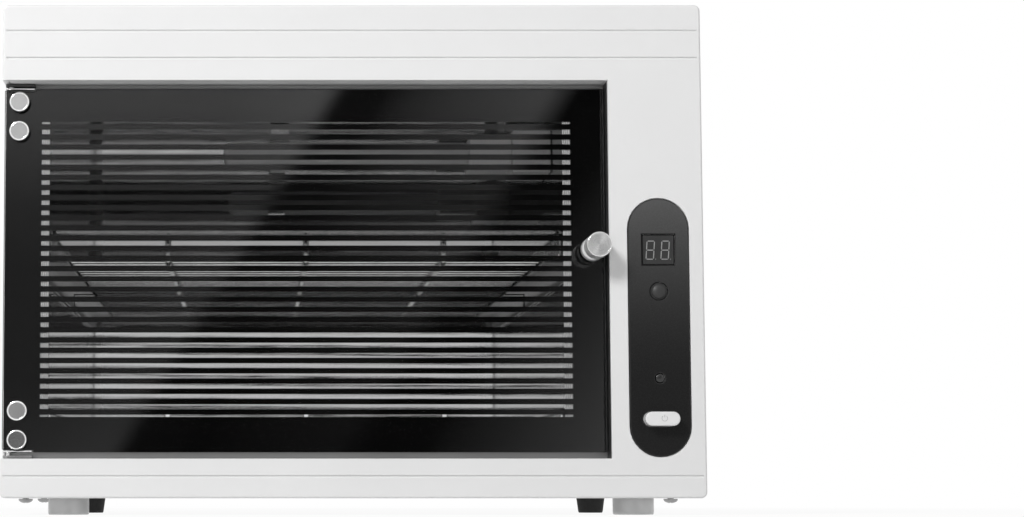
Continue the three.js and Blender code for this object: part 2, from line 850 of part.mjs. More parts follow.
function makeSetButton() {
  const flangeFront = fascia.wall + gap;
  const flangeBack = flangeFront + setButton.flange;
  const profile = [
    [0, -setButton.proud],
    [setButton.radius - setButton.dome, -setButton.proud],
    [setButton.radius, -setButton.proud + setButton.dome],
    [setButton.radius, flangeFront],
    [setButton.flangeRadius, flangeFront],
    [setButton.flangeRadius, flangeBack],
    [setButton.stemRadius, flangeBack],
    [setButton.stemRadius, flangeBack + setButton.stem],
    [0, flangeBack + setButton.stem],
  ];
  return turned(profile, alongY, [panelX, 0, setButtonZ], midSides);
}

function makeSetSwitch() {
  const bodyBack = boardFront - gap;
  const bodyFront = bodyBack - setSwitch.height;
  const stemEnd = fascia.wall + gap + setButton.flange + setButton.stem;
  const reach = [stemEnd + setButton.travel + gap, bodyFront + gap];
  return join([
    box(about(panelX, setSwitch.side), [bodyFront, bodyBack], about(setButtonZ, setSwitch.side)),
    rod(setSwitch.plungerRadius, reach, alongY, [panelX, 0, setButtonZ], smallSides),
  ]);
}

function makeIndicator() {
  const lengths = [-indicator.proud, boardFront - gap];
  return rod(indicator.radius, lengths, alongY, [panelX, 0, indicatorZ], smallSides);
}

function makePowerButton() {
  const flangeFront = fascia.wall + gap;
  const flangeBack = flangeFront + powerButton.flange;
  const rim = 2 * powerButton.flangeRim;
  const edge = 2 * powerButton.edge;
  const { width, height, proud } = powerButton;
  const z = powerButtonZ;
  const stem = [flangeBack - gap, flangeBack + powerButton.stem];
  return join([
    pill(panelX, z, width - edge, height - edge, [-proud, -proud + powerButton.edge + overrun]),
    pill(panelX, z, width, height, [-proud + powerButton.edge, flangeFront + gap]),
    pill(panelX, z, width + rim, height + rim, [flangeFront, flangeBack]),
    rod(powerButton.stemRadius, stem, alongY, [panelX, 0, z], smallSides),
  ]);
}

function makePowerSwitch() {
  const stemEnd = fascia.wall + gap + powerButton.flange + powerButton.stem;
  const depths = [stemEnd + powerButton.travel + gap, boardFront - gap];
  return box(about(panelX, powerSwitch.width), depths, about(powerButtonZ, powerSwitch.height));
}

// The micro switch behind the jamb, with a bore for its plunger
function makeMicroSwitch() {
  const front = frameBack + gap;
  const body = box(
    about(knobX, microSwitch.width),
    [front, front + microSwitch.depth],
    about(microSwitchZ, microSwitch.height),
  );
  const lengths = [front - overrun, front + microSwitch.boreDepth];
  const radius = microSwitch.plungerRadius + gap;
  return cut(body, [rod(radius, lengths, alongY, [knobX, 0, microSwitchZ], smallSides)]);
}

function makePlunger() {
  const lengths = [printBack + gap, frameBack + gap + microSwitch.plungerDepth];
  return rod(microSwitch.plungerRadius, lengths, alongY, [knobX, 0, microSwitchZ], smallSides);
}

// The catch: a magnet through the jamb, held in a block behind it
function makeMagnet() {
  const lengths = [magnetFront, magnetFront + magnet.length];
  return rod(magnet.radius, lengths, alongY, [knobX, 0, knobZ], midSides);
}

function makeMagnetHolder() {
  const front = frameBack + gap;
  const block = box(
    about(knobX, magnet.holder),
    [front, front + magnet.holderDepth],
    about(knobZ, magnet.holder),
  );
  const lengths = [front - overrun, magnetFront + magnet.length + gap];
  const bore = rod(magnet.radius + gap, lengths, alongY, [knobX, 0, knobZ], midSides);
  return cut(block, [bore]);
}

// Heights of the four disc screws on the door
function hingeScrewHeights() {
  return [
    ...hinge.screwDrops.map((drop) => doorTop - drop),
    ...hinge.screwRises.map((rise) => doorBottom + rise),
  ];
}

function doorHoles(depths) {
  const screwHoles = hingeScrewHeights().map((z) => {
    return rod(hinge.shankRadius + gap, depths, alongY, [screwX, 0, z], smallSides);
  });
  const knobHole = rod(knob.threadRadius + gap, depths, alongY, [knobX, 0, knobZ], smallSides);
  return [...screwHoles, knobHole];
}

// Corner of the door that the hinge flange takes, at the top for 1 and at the bottom for -1
function flangeHeights(end) {
  const edge = end > 0 ? doorTop : doorBottom;
  const inner = edge - end * hinge.flangeSheet;
  return [Math.min(edge, inner), Math.max(edge, inner)];
}

function makeDoorPanel() {
  const depths = [doorFront, doorBack];
  const plate = box([doorLeft, doorRight], depths, [doorBottom, doorTop]);
  const past = [doorFront - overrun, doorBack + overrun];
  const notches = [-1, 1].map((end) => {
    const [low, high] = flangeHeights(end);
    const grown = end > 0 ? [low - gap, high + overrun] : [low - overrun, high + gap];
    return box([doorLeft - overrun, doorLeft + hinge.leafLength + gap], past, grown);
  });
  return cut(plate, [...notches, ...doorHoles(past)]);
}

// The print: a black film with clear stripes, cut back round the hinge leaves
function makeDoorPrint() {
  const depths = [doorBack + door.bond, printBack];
  const past = [depths[0] - overrun, depths[1] + overrun];
  const film = box([doorLeft + gap, doorRight - gap], depths, [doorBottom + gap, doorTop - gap]);
  const across = [chamberLeft, chamberRight];
  const middle = (chamberFloor + chamberTop) / 2 + stripe.rise;
  const fullCount = Math.round((chamberTop - chamberFloor - 2 * stripe.margin) / stripe.pitch);
  const stripes = Array.from({ length: fullCount }, (_, index) => {
    const z = middle + (index - (fullCount - 1) / 2) * stripe.pitch;
    return box(across, past, about(z, stripe.opening));
  });
  const endReach = (fullCount + 1) / 2 * stripe.pitch - stripe.endInset;
  const endStripes = [-1, 1].map((end) => {
    return box(across, past, about(middle + end * endReach, stripe.endOpening));
  });
  const leafSpaces = [-1, 1].map((end) => {
    const [low, high] = leafHeights(end);
    const span = [doorLeft - overrun, doorLeft + hinge.leafLength + gap];
    return box(span, past, end > 0 ? [low - gap, high + overrun] : [low - overrun, high + gap]);
  });
  return cut(film, [...stripes, ...endStripes, ...leafSpaces, ...doorHoles(past)]);
}

function leafHeights(end) {
  const edge = end > 0 ? doorTop : doorBottom;
  const inner = edge - end * hinge.leafHeight;
  return [Math.min(edge, inner), Math.max(edge, inner)];
}

function hingePinHole([low, high]) {
  const radius = hinge.pinRadius + gap;
  return rod(radius, [low - overrun, high + overrun], alongZ, [hingeX, hingeY, 0], smallSides);
}

// A hinge plate on the door: a leaf behind the panel and a flange over its edge, with the pivot's hole
function makeHingePlate(end) {
  const leafFront = doorBack + gap;
  const leafBack = leafFront + hinge.leafSheet;
  const leafRight = doorLeft + hinge.leafLength;
  const leafSpan = [doorLeft + hinge.leafInset, leafRight];
  const leaf = box(leafSpan, [leafFront, leafBack], leafHeights(end));
  const flange = box([doorLeft + gap, leafRight], about(hingeY, hinge.flangeWidth), flangeHeights(end));
  const neck = box(leafSpan, [hingeY, leafBack], flangeHeights(end));
  const pinHole = hingePinHole(flangeHeights(end));
  const holes = hingeScrewHeights().map((z) => {
    return rod(hinge.shankRadius + gap, [doorBack, leafBack + overrun], alongY, [screwX, 0, z], smallSides);
  });
  return cut(join([leaf, flange, neck]), [pinHole, ...holes]);
}

// The plate on the body beyond each end of the door, flat against the lip of the recess
function bracketHeights(end) {
  const lip = end > 0 ? recessTop - gap : recessBottom + gap;
  const inner = lip - end * hinge.bracketSheet;
  return [Math.min(lip, inner), Math.max(lip, inner)];
}

function makeHingeBracket(end) {
  const [low, high] = bracketHeights(end);
  const depths = [frameFront - gap - hinge.bracketDepth, frameFront - gap];
  const plate = box([left + fascia.wall + gap, doorLeft + hinge.leafLength], depths, [low, high]);
  const nose = rod(hinge.edgeInset - gap, [low, high], alongZ, [hingeX, hingeY, 0], midSides);
  return cut(join([plate, nose]), [hingePinHole([low, high])]);
}

function makeHingePin(end) {
  const [low, high] = bracketHeights(end);
  const [flangeLow, flangeHigh] = flangeHeights(end);
  const lengths = end > 0 ? [flangeLow, high] : [low, flangeHigh];
  return rod(hinge.pinRadius, lengths, alongZ, [hingeX, hingeY, 0], smallSides);
}

// A disc-headed screw through the door into the hinge leaf
function makeHingeScrew(z) {
  const under = doorFront - gap;
  const face = under - hinge.headThick;
  const end = doorBack + gap + hinge.leafSheet;
  const profile = [
    [0, face],
    [hinge.headRadius - hinge.headBevel, face],
    [hinge.headRadius, face + hinge.headBevel],
    [hinge.headRadius, under],
    [hinge.shankRadius, under],
    [hinge.shankRadius, end],
    [0, end],
  ];
  return turned(profile, alongY, [screwX, 0, z], midSides);
}

// The knob: a collar on the door, a waist and a cap, bored for its screw
function makeKnob() {
  const foot = doorFront - gap;
  const face = doorFront - knob.length;
  const capBack = face + knob.capLength;
  const collarFront = foot - knob.collarLength;
  const profile = [
    [0, face],
    [knob.capRadius - knob.edge, face],
    [knob.capRadius, face + knob.edge],
    [knob.capRadius, capBack - knob.edge],
    [knob.capRadius - knob.edge, capBack],
    [knob.neckRadius, capBack + knob.edge],
    [knob.neckRadius, collarFront - knob.edge],
    [knob.collarRadius - knob.edge, collarFront],
    [knob.collarRadius, collarFront + knob.edge],
    [knob.collarRadius, foot],
    [knob.threadRadius + gap, foot],
    [knob.threadRadius + gap, foot - knob.threadDepth],
    [0, foot - knob.threadDepth],
  ];
  return turned(profile, alongY, [knobX, 0, knobZ], fineSides);
}

function makeKnobScrew() {
  const under = printBack + knob.screwGap;
  const head = under + knob.screwHead;
  const tip = doorFront - gap - knob.threadDepth + gap;
  const profile = [
    [0, tip],
    [knob.threadRadius, tip],
    [knob.threadRadius, under],
    [knob.screwHeadRadius, under],
    [knob.screwHeadRadius, head],
    [0, head],
  ];
  return turned(profile, alongY, [knobX, 0, knobZ], midSides);
}

// Feet: round blocks in front and tapered ones behind
function makeFrontFoot(side) {
  const footTop = baseBottom - gap;
  const profile = [
    [0, 0],
    [frontFoot.radius - frontFoot.edge, 0],
    [frontFoot.radius, frontFoot.edge],
    [frontFoot.radius, footTop],
    [0, footTop],
  ];
  const x = side * (right - frontFoot.sideInset);
  return turned(profile, alongZ, [x, frontFoot.frontInset, 0], fineSides);
}

function makeRearFoot(side) {
  const footTop = baseBottom - gap;
  const profile = [
    [0, 0],
    [rearFoot.bottomRadius - rearFoot.edge, 0],
    [rearFoot.bottomRadius, rearFoot.edge],
    [rearFoot.topRadius, footTop],
    [0, footTop],
  ];
  const x = side * (right - rearFoot.sideInset);
  return turned(profile, alongZ, [x, bodyDepth - rearFoot.rearInset, 0], midSides);
}

// A dome-headed screw: a shallow dome of two steps and a shank that points along the axis
function makeDomeScrew(size, shank, axis, place) {
  const ring = size.headRadius * Math.SQRT1_2;
  const profile = [
    [0, -size.head],
    [ring, -size.head * Math.SQRT1_2],
    [size.headRadius, 0],
    [size.shankRadius, 0],
    [size.shankRadius, shank],
    [0, shank],
  ];
  return turned(profile, axis, place, smallSides);
}

function makeBaseScrew([x, y]) {
  const shank = baseTop + baseScrew.reach - bottom + gap;
  return makeDomeScrew(baseScrew, shank, alongZ, [x, y, bottom - gap]);
}

function makeRearScrew([x, z]) {
  const shank = rearSheet + gap + cover.sheet + rearScrew.reach;
  return makeDomeScrew(rearScrew, shank, [0, -1, 0], [x, bodyDepth + gap, z]);
}

// The cord's gland, with an open bore
function makeGland() {
  const outside = bodyDepth + gap;
  const inner = outside - gland.inner;
  const tailEnd = outside + gland.tail;
  const profile = [
    [gland.boreRadius, inner],
    [gland.bodyRadius, inner],
    [gland.bodyRadius, outside],
    [gland.flangeRadius, outside],
    [gland.flangeRadius, outside + gland.flange],
    [gland.bodyRadius, outside + gland.flange],
    [gland.boreRadius + gland.flange / 2, tailEnd],
    [gland.boreRadius, tailEnd],
    [gland.boreRadius, inner],
  ];
  return turned(profile, alongY, [glandX, 0, glandZ], midSides);
}

// The assembly
const cabinet = new THREE.Group();
const knobTip = doorFront - knob.length;
const rearEnd = bodyDepth + gap + gland.tail;
cabinet.position.y = -(knobTip + rearEnd) / 2;

function place(name, solid, finish) {
  const mesh = new THREE.Mesh(toGeometry(solid), finish);
  mesh.name = name;
  cabinet.add(mesh);
}

const sides = [['left', -1], ['right', 1]];
const ends = [['top', 1], ['bottom', -1]];

place('front_fascia', makeFascia(), whitePlastic);
place('outer_cover', makeCover(), whitePaint);
place('front_frame', makeFrame(), greyMetal);
place('base_plate', makeBasePlate(), greyMetal);
place('rear_cover', makeRearCover(), whitePaint);
place('chamber_liner', makeLiner(), mirrorSteel);
place('cord_gland', makeGland(), blackRubber);
sides.forEach(([name, side]) => {
  place(`liner_support_${name}`, makeSupport(side), greyMetal);
  place(`shelf_ledge_${name}`, makeLedge(side), mirrorSteel);
  place(`front_foot_${name}`, makeFrontFoot(side), greyPlastic);
  place(`rear_foot_${name}`, makeRearFoot(side), blackRubber);
});

place('upper_shelf', makeShelf(upperFloor), brightSteel);
place('lower_shelf', makeShelf(lowerFloor), brightSteel);

place('lamp_tube', makeLampTube(), lampGlass);
place('lamp_base', makeLampBase(), whitePlastic);
place('lamp_socket', makeLampSocket(), whitePlastic);
place('lamp_clip', makeLampClip(), brightSteel);
place('ballast', makeBallast(), greyMetal);
place('terminal_block', makeTerminalBlock(), whitePlastic);
place('lamp_lead', makeLampLead(), whitePlastic);
place('switch_lead', makeSwitchLead(), blackRubber);

place('control_panel', makePanel(), blackPlastic);
place('control_board', makeBoard(), boardGreen);
place('display_window', makeDisplayWindow(), tintedPanel);
place('display_module', makeDisplayModule(), blackPlastic);
place('set_button', makeSetButton(), blackPlastic);
place('set_switch', makeSetSwitch(), greyPlastic);
place('indicator_lens', makeIndicator(), tintedPanel);
place('power_button', makePowerButton(), whitePlastic);
place('power_switch', makePowerSwitch(), blackPlastic);
place('micro_switch', makeMicroSwitch(), blackPlastic);
place('micro_switch_plunger', makePlunger(), greyPlastic);
place('door_magnet', makeMagnet(), darkMagnet);
place('magnet_holder', makeMagnetHolder(), greyPlastic);

place('door_panel', makeDoorPanel(), tintedPanel);
place('door_print', makeDoorPrint(), blackPrint);
place('door_knob', makeKnob(), brightSteel);
place('knob_screw', makeKnobScrew(), brightSteel);
ends.forEach(([name, end]) => {
  place(`hinge_plate_${name}`, makeHingePlate(end), brightSteel);
  place(`hinge_bracket_${name}`, makeHingeBracket(end), greyMetal);
  place(`hinge_pin_${name}`, makeHingePin(end), brightSteel);
});
hingeScrewHeights().forEach((z, index) => {
  place(`hinge_screw_${index + 1}`, makeHingeScrew(z), brightSteel);
});
baseScrewPlaces().forEach((spot, index) => {
  place(`base_screw_${index + 1}`, makeBaseScrew(spot), brightSteel);
});
rearScrewPlaces().forEach((spot, index) => {
  place(`rear_screw_${index + 1}`, makeRearScrew(spot), brightSteel);
});

export default cabinet;
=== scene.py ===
"""UV sterilizer cabinet: the looks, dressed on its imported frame. Metres, +Z up, the front faces -Y."""
import json
import math

import bmesh
import bpy
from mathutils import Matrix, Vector

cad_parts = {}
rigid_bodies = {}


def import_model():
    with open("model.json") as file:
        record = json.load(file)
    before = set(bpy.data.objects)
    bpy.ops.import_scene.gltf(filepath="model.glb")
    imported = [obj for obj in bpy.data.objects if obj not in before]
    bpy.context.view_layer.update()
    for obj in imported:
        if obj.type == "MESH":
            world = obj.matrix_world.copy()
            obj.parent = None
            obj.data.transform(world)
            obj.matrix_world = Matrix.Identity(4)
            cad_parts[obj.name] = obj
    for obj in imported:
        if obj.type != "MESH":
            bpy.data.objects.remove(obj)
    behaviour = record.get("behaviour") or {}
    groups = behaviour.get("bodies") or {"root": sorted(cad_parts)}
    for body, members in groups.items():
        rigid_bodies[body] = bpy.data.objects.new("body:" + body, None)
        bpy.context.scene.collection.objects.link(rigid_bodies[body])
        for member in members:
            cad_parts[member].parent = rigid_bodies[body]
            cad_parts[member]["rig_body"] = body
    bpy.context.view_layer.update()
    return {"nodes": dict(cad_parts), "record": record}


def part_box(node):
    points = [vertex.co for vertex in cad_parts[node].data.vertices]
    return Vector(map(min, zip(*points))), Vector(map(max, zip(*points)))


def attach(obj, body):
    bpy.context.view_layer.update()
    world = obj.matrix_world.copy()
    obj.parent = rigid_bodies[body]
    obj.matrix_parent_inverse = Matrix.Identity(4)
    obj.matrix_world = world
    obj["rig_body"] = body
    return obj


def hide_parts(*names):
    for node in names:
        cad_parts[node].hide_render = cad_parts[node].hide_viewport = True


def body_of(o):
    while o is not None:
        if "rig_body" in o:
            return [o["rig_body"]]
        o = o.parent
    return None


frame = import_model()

MM = 0.001

# The photograph's frame, and where the lines that run away from the camera meet in it
IMAGE_WIDTH = 1024
IMAGE_HEIGHT = 517
FOCAL_PIXELS = 2320
VANISH_X_PIXEL = 257
HORIZON_PIXEL = 496.6
SENSOR = 36
SHIFT_Y = 0.042
CAMERA_X = -46.1 * MM
CAMERA_HEIGHT = 8.8 * MM
CAMERA_DISTANCE = 1116 * MM

# The fascia's face, from which depths are measured
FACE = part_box("front_fascia")[0].y
NEAR_FACE = 0.05 * MM
SHARP_ANGLE = math.radians(38)
SAME_PLACE = 0.001 * MM
ALONG_X = (1, 0, 0)
ALONG_Y = (0, 1, 0)
ALONG_Z = (0, 0, 1)

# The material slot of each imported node
SLOTS = {part["node"]: part["material_slot"] for part in frame["record"]["subparts"]}
# The finishes by name
MATERIALS = {}


def box_of(node):
    """The lowest and highest corners of a node's box, and its middle."""
    low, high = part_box(node)
    return low, high, (low + high) / 2


def add_object(name, data):
    """An object of the scene that holds the data."""
    thing = bpy.data.objects.new(name, data)
    bpy.context.scene.collection.objects.link(thing)
    return thing


def make_camera():
    """A camera at the photograph's place, pitched up a little so that its shift stays small."""
    data = bpy.data.cameras.new("camera")
    data.sensor_width = SENSOR
    data.lens = FOCAL_PIXELS / IMAGE_WIDTH * SENSOR
    data.shift_x = (IMAGE_WIDTH / 2 - VANISH_X_PIXEL) / IMAGE_WIDTH
    data.shift_y = SHIFT_Y
    below_middle = HORIZON_PIXEL - IMAGE_HEIGHT / 2 - SHIFT_Y * IMAGE_WIDTH
    pitch = math.atan(below_middle / FOCAL_PIXELS)
    camera = add_object("camera", data)
    camera.location = (CAMERA_X, FACE - CAMERA_DISTANCE, CAMERA_HEIGHT)
    camera.rotation_euler = (math.pi / 2 + pitch, 0, 0)
    bpy.context.scene.camera = camera


# Node trees

def add_node(tree, kind, settings=None, inputs=None):
    """A shader node with its settings. Each input is linked if it is given a socket, and set otherwise."""
    node = tree.nodes.new("ShaderNode" + kind)
    for name, value in (settings or {}).items():
        setattr(node, name, value)
    for name, value in (inputs or {}).items():
        if isinstance(value, bpy.types.NodeSocket):
            tree.links.new(value, node.inputs[name])
        else:
            node.inputs[name].default_value = value
    return node


def math_node(tree, operation, first, second=0.0):
    return add_node(tree, "Math", {"operation": operation}, {0: first, 1: second}).outputs[0]


def object_place(tree, stretch=(1, 1, 1)):
    """The place on the piece, in metres, with each axis stretched."""
    place = add_node(tree, "TexCoord").outputs["Object"]
    return add_node(tree, "Mapping", None, {"Vector": place, "Scale": stretch}).outputs[0]


def noise(tree, place, size, detail=2.0):
    """Noise whose spots are about the given size."""
    inputs = {"Vector": place, "Scale": 1 / size, "Detail": detail}
    return add_node(tree, "TexNoise", None, inputs).outputs[0]


def span(tree, value, low, high, start=0.3, end=0.7):
    """The value taken from one range to another."""
    inputs = {"Value": value, "From Min": start, "From Max": end, "To Min": low, "To Max": high}
    return add_node(tree, "MapRange", None, inputs).outputs[0]


def blend_colours(tree, share, first, second):
    inputs = {0: share, 6: first, 7: second}
    return add_node(tree, "Mix", {"data_type": "RGBA"}, inputs).outputs[2]


def bump(tree, height, depth):
    return add_node(tree, "Bump", None, {"Height": height, "Distance": depth, "Strength": 1.0})


def tone(level):
    """A grey of that level. A colour stays as it is."""
    return level if isinstance(level, tuple) else (level, level, level, 1)


def shader_of(material):
    return material.node_tree.nodes["Principled BSDF"]


def start_material(name, settings):
    """A new finish, whose shader has these settings."""
    material = bpy.data.materials.new(name)
    MATERIALS[name] = material
    material.use_nodes = True
    for setting, value in settings.items():
        shader_of(material).inputs[setting].default_value = value
    return material


def cover(material, clouds, grains, light, dark, rough, depth):
    """A tone that follows the clouds, and gloss and relief that follow the grains."""
    tree = material.node_tree
    inputs = shader_of(material).inputs
    colour = blend_colours(tree, span(tree, clouds, 0, 1), tone(light), tone(dark))
    tree.links.new(colour, inputs["Base Color"])
    tree.links.new(span(tree, grains, *rough), inputs["Roughness"])
    tree.links.new(bump(tree, grains, depth).outputs[0], inputs["Normal"])


def surface(
    name, light, dark, rough, metallic=0.0, cloud=60 * MM, grain=1 * MM, depth=0.004 * MM,
    stretch=(1, 1, 1), settings=None
):
    """A finish that varies between two tones, with uneven gloss and a fine grain."""
    material = start_material(name, {"Metallic": metallic, **(settings or {})})
    tree = material.node_tree
    clouds = noise(tree, object_place(tree), cloud)
    grains = noise(tree, object_place(tree, stretch), grain, 3.0)
    cover(material, clouds, grains, light, dark, rough, depth)
    return material


def steel(name, light, dark, rough, cloud, grain=0.3 * MM, depth=0.002 * MM, metallic=1.0):
    """A metal finish with a finer grain and relief."""
    surface(name, light, dark, rough, metallic=metallic, cloud=cloud, grain=grain, depth=depth)


# Materials

# The slow clouds and faint relief of a smooth, glossy sheet
SMOOTH = {"cloud": 90 * MM, "grain": 30 * MM, "depth": 0.001 * MM}


def make_white_plastic():
    """Satin moulding of the fascia: pale, with a faint spark texture."""
    surface("white_plastic", 0.84, 0.82, (0.30, 0.38), grain=0.8 * MM, depth=0.003 * MM)


def make_white_paint():
    """Powder coat on the sheet: a soft orange peel."""
    surface("white_paint", 0.83, 0.80, (0.34, 0.46), grain=1.6 * MM, depth=0.012 * MM)


def make_grey_metal():
    """Plain sheet steel, with faint rolling lines across it."""
    surface("grey_metal", 0.42, 0.36, (0.32, 0.44), metallic=0.6, grain=0.5 * MM, stretch=(0.05, 1, 1))


def make_mirror_steel():
    """Thin polished sheet: a mirror with slow waves, polishing lines and a trace of haze."""
    material = surface(
        "mirror_steel", 0.47, 0.43, (0.02, 0.07), metallic=1.0, cloud=45 * MM, grain=0.6 * MM,
        depth=0.001 * MM, stretch=(0.03, 0.03, 1)
    )
    wave = 70 * MM
    wave_depth = 0.1 * MM
    tree = material.node_tree
    lines = shader_of(material).inputs["Normal"].links[0].from_node
    waves = bump(tree, noise(tree, object_place(tree), wave, 1.0), wave_depth)
    tree.links.new(waves.outputs[0], lines.inputs["Normal"])


def make_bright_steel():
    """Bright plated wire and screws."""
    steel("bright_steel", 0.74, 0.66, (0.16, 0.28), cloud=8 * MM, grain=0.4 * MM)


def make_black_plastic():
    """Satin black moulding."""
    surface("black_plastic", 0.018, 0.012, (0.28, 0.36), grain=0.5 * MM)


def make_black_print():
    """Gloss ink on the back of the door, as smooth as the sheet."""
    settings = {"Specular IOR Level": 0.94}
    surface("black_print", 0.001, 0.0006, (0.01, 0.03), **SMOOTH, settings=settings)


def make_black_rubber():
    """Matt rubber with a dusty bloom."""
    surface("black_rubber", 0.009, 0.005, (0.6, 0.8), cloud=12 * MM, grain=0.7 * MM)


def make_grey_plastic():
    """Matt grey moulding."""
    surface("grey_plastic", 0.36, 0.32, (0.4, 0.55), cloud=20 * MM, grain=0.6 * MM)


def make_magnet():
    """Sintered magnet with a pitted face."""
    steel("magnet", 0.10, 0.05, (0.4, 0.6), cloud=3 * MM, grain=0.4 * MM, depth=0.02 * MM, metallic=0.5)


def make_board():
    """Circuit board under its green coat."""
    light = (0.05, 0.13, 0.07, 1)
    dark = (0.03, 0.09, 0.05, 1)
    surface("board", light, dark, (0.3, 0.4), cloud=3 * MM, grain=0.5 * MM)


def make_tinted_panel():
    """Grey-tinted clear acrylic: glossy, and seen through by its alpha."""
    settings = {"IOR": 1.49, "Specular IOR Level": 0.3, "Alpha": 0.15}
    surface("tinted_panel", 0.004, 0.003, (0.01, 0.03), **SMOOTH, settings=settings)


def make_frosted_edge_and_highlight():
    """Edge of the tinted sheet, frosted by the saw and painted light as a highlight along the door's edges.
    """
    surface("frosted_edge_and_highlight", 0.36, 0.27, (0.3, 0.5), cloud=20 * MM, grain=0.4 * MM)


def make_lamp_glass():
    """Clear quartz tube."""
    surface(
        "lamp_glass", 0.85, 0.75, (0.02, 0.06), cloud=20 * MM, grain=10 * MM, depth=0.001 * MM,
        settings={"Alpha": 0.55, "Specular IOR Level": 0.8}
    )


def make_panel_face():
    """The control plate's black print with painted light: grey at the top, fading to black lower down, as
    the light falls on it.
    """
    settings = {"Specular IOR Level": 0.15}
    material = surface("panel_face", 0.102, 0.094, (0.24, 0.30), grain=0.5 * MM, settings=settings)
    black = 0.011
    shaded_share = 0.25
    low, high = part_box("control_panel")
    tree = material.node_tree
    height = add_node(tree, "SeparateXYZ", None, {0: object_place(tree)}).outputs[2]
    # Painted light: the print grows lighter towards the top of the plate, as if lit from above.
    painted_light_fade = span(tree, height, 0, 1, low.z + (high.z - low.z) * shaded_share, high.z)
    base = shader_of(material).inputs["Base Color"]
    grey = base.links[0].from_socket
    tree.links.new(blend_colours(tree, math_node(tree, "MULTIPLY", painted_light_fade, painted_light_fade), tone(black), grey), base)


def make_display_pane():
    """Dark smoked face of the display; on the door's right edge the same dark is painted shade."""
    settings = {"Specular IOR Level": 0.3}
    surface("display_pane", 0.046, 0.038, (0.12, 0.2), cloud=10 * MM, settings=settings)


def make_digit_grey():
    """Unlit bars of the digits, a pale diffuser behind the face."""
    surface("digit_grey", 0.34, 0.26, (0.4, 0.5), cloud=2 * MM, grain=0.3 * MM)


def make_symbol_grey():
    """Faint grey of the ring symbol on the power button."""
    surface("symbol_grey", 0.58, 0.50, (0.4, 0.5), cloud=2 * MM, grain=0.3 * MM)


def make_smoked_lens():
    """Smoked lens of the indicator."""
    surface("smoked_lens", 0.020, 0.014, (0.14, 0.22), cloud=3 * MM, grain=0.4 * MM)


def make_foot_grey():
    """Satin metallic grey of the front feet."""
    surface("foot_grey", 0.70, 0.62, (0.3, 0.45), metallic=0.4, cloud=12 * MM, grain=0.6 * MM)


def make_disc_steel():
    """Faced steel of the discs on the door."""
    steel("disc_steel", 0.64, 0.58, (0.10, 0.18), cloud=8 * MM)


def make_painted_shade_disc():
    """The lowest disc's steel, painted darker as shade for the darker surroundings it reflects."""
    steel("painted_shade_disc", 0.20, 0.16, (0.2, 0.32), cloud=6 * MM)


def make_polished_steel():
    """Polished edge left by the lathe on the discs and the knob."""
    steel("polished_steel", 0.95, 0.90, (0.06, 0.12), cloud=5 * MM, depth=0.001 * MM)


def make_key_black():
    """Smooth black cap of the set button."""
    surface("key_black", 0.020, 0.016, (0.45, 0.52), grain=0.5 * MM)


def make_plated_steel():
    """Dull plating of the dome screws and of the lower hinge bracket."""
    steel("plated_steel", 0.36, 0.28, (0.2, 0.32), cloud=6 * MM)


def make_painted_shade_steel():
    """Near-black steel painted in as shade: on the upper hinge bracket, which sits in a dark gap, and on the
    lips in shadow.
    """
    surface("painted_shade_steel", 0.045, 0.03, (0.35, 0.5), metallic=0.3, cloud=12 * MM, grain=0.5 * MM)


def make_painted_light_grey():
    """Pale grey painted in as light: on the underside of the upper lip, which lies in shade, and on the
    door's pale strips, which stand for bright reflections.
    """
    surface("lip_grey", 0.80, 0.72, (0.35, 0.5), cloud=30 * MM, grain=0.6 * MM)


def make_shelf_steel():
    """Polished wire of the shelves."""
    steel("shelf_steel", 0.60, 0.50, (0.10, 0.2), cloud=8 * MM, grain=0.4 * MM)


def make_ledge_steel():
    """Dull steel of the shelf ledges and of the shelves' runners."""
    steel("ledge_steel", 0.13, 0.09, (0.25, 0.4), cloud=10 * MM, grain=0.5 * MM)


def make_satin_steel():
    """Satin side of the knob."""
    steel("satin_steel", 0.80, 0.72, (0.35, 0.45), cloud=5 * MM, metallic=0.6)


def make_turned_steel():
    """Lathe-cut steel of the knob's cap: rings about its axis catch the light."""
    material = start_material("turned_steel", {"Metallic": 1.0, "Anisotropic": 0.75})
    ring = 0.12 * MM
    ring_depth = 0.006 * MM
    low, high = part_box("door_knob")
    tree = material.node_tree
    inputs = {0: object_place(tree), 1: (low + high) / 2}
    offset = add_node(tree, "VectorMath", {"operation": "SUBTRACT"}, inputs).outputs[0]
    parts = add_node(tree, "SeparateXYZ", None, {0: offset})
    squares = [math_node(tree, "POWER", parts.outputs[axis], 2.0) for axis in (0, 2)]
    radius = math_node(tree, "SQRT", math_node(tree, "ADD", *squares))
    spread = add_node(tree, "CombineXYZ", None, {0: radius, 1: parts.outputs[1]}).outputs[0]
    rings = noise(tree, spread, ring)
    cover(material, rings, rings, 0.72, 0.55, (0.2, 0.34), ring_depth)
    tangent = add_node(tree, "Tangent", {"direction_type": "RADIAL", "axis": "Y"})
    tree.links.new(tangent.outputs[0], shader_of(material).inputs["Tangent"])


for make_finish in (
    make_white_paint, make_white_plastic, make_grey_metal, make_mirror_steel, make_bright_steel,
    make_black_plastic, make_black_print, make_black_rubber, make_grey_plastic, make_magnet, make_board,
    make_tinted_panel, make_lamp_glass, make_frosted_edge_and_highlight, make_panel_face, make_turned_steel,
    make_display_pane, make_digit_grey, make_symbol_grey, make_smoked_lens, make_foot_grey, make_disc_steel,
    make_painted_shade_disc, make_polished_steel, make_key_black, make_plated_steel, make_painted_shade_steel, make_painted_light_grey,
    make_shelf_steel, make_ledge_steel, make_satin_steel,
):
    make_finish()


def dress_nodes():
    """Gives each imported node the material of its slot."""
    for node, slot in SLOTS.items():
        frame["nodes"][node].material_slots[0].material = MATERIALS[slot]


# Mesh code

def settle(piece, body, nodes=()):
    """Rides a finished piece on its body and hides the nodes it stands for."""
    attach(piece, body)
    if nodes:
        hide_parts(*nodes)


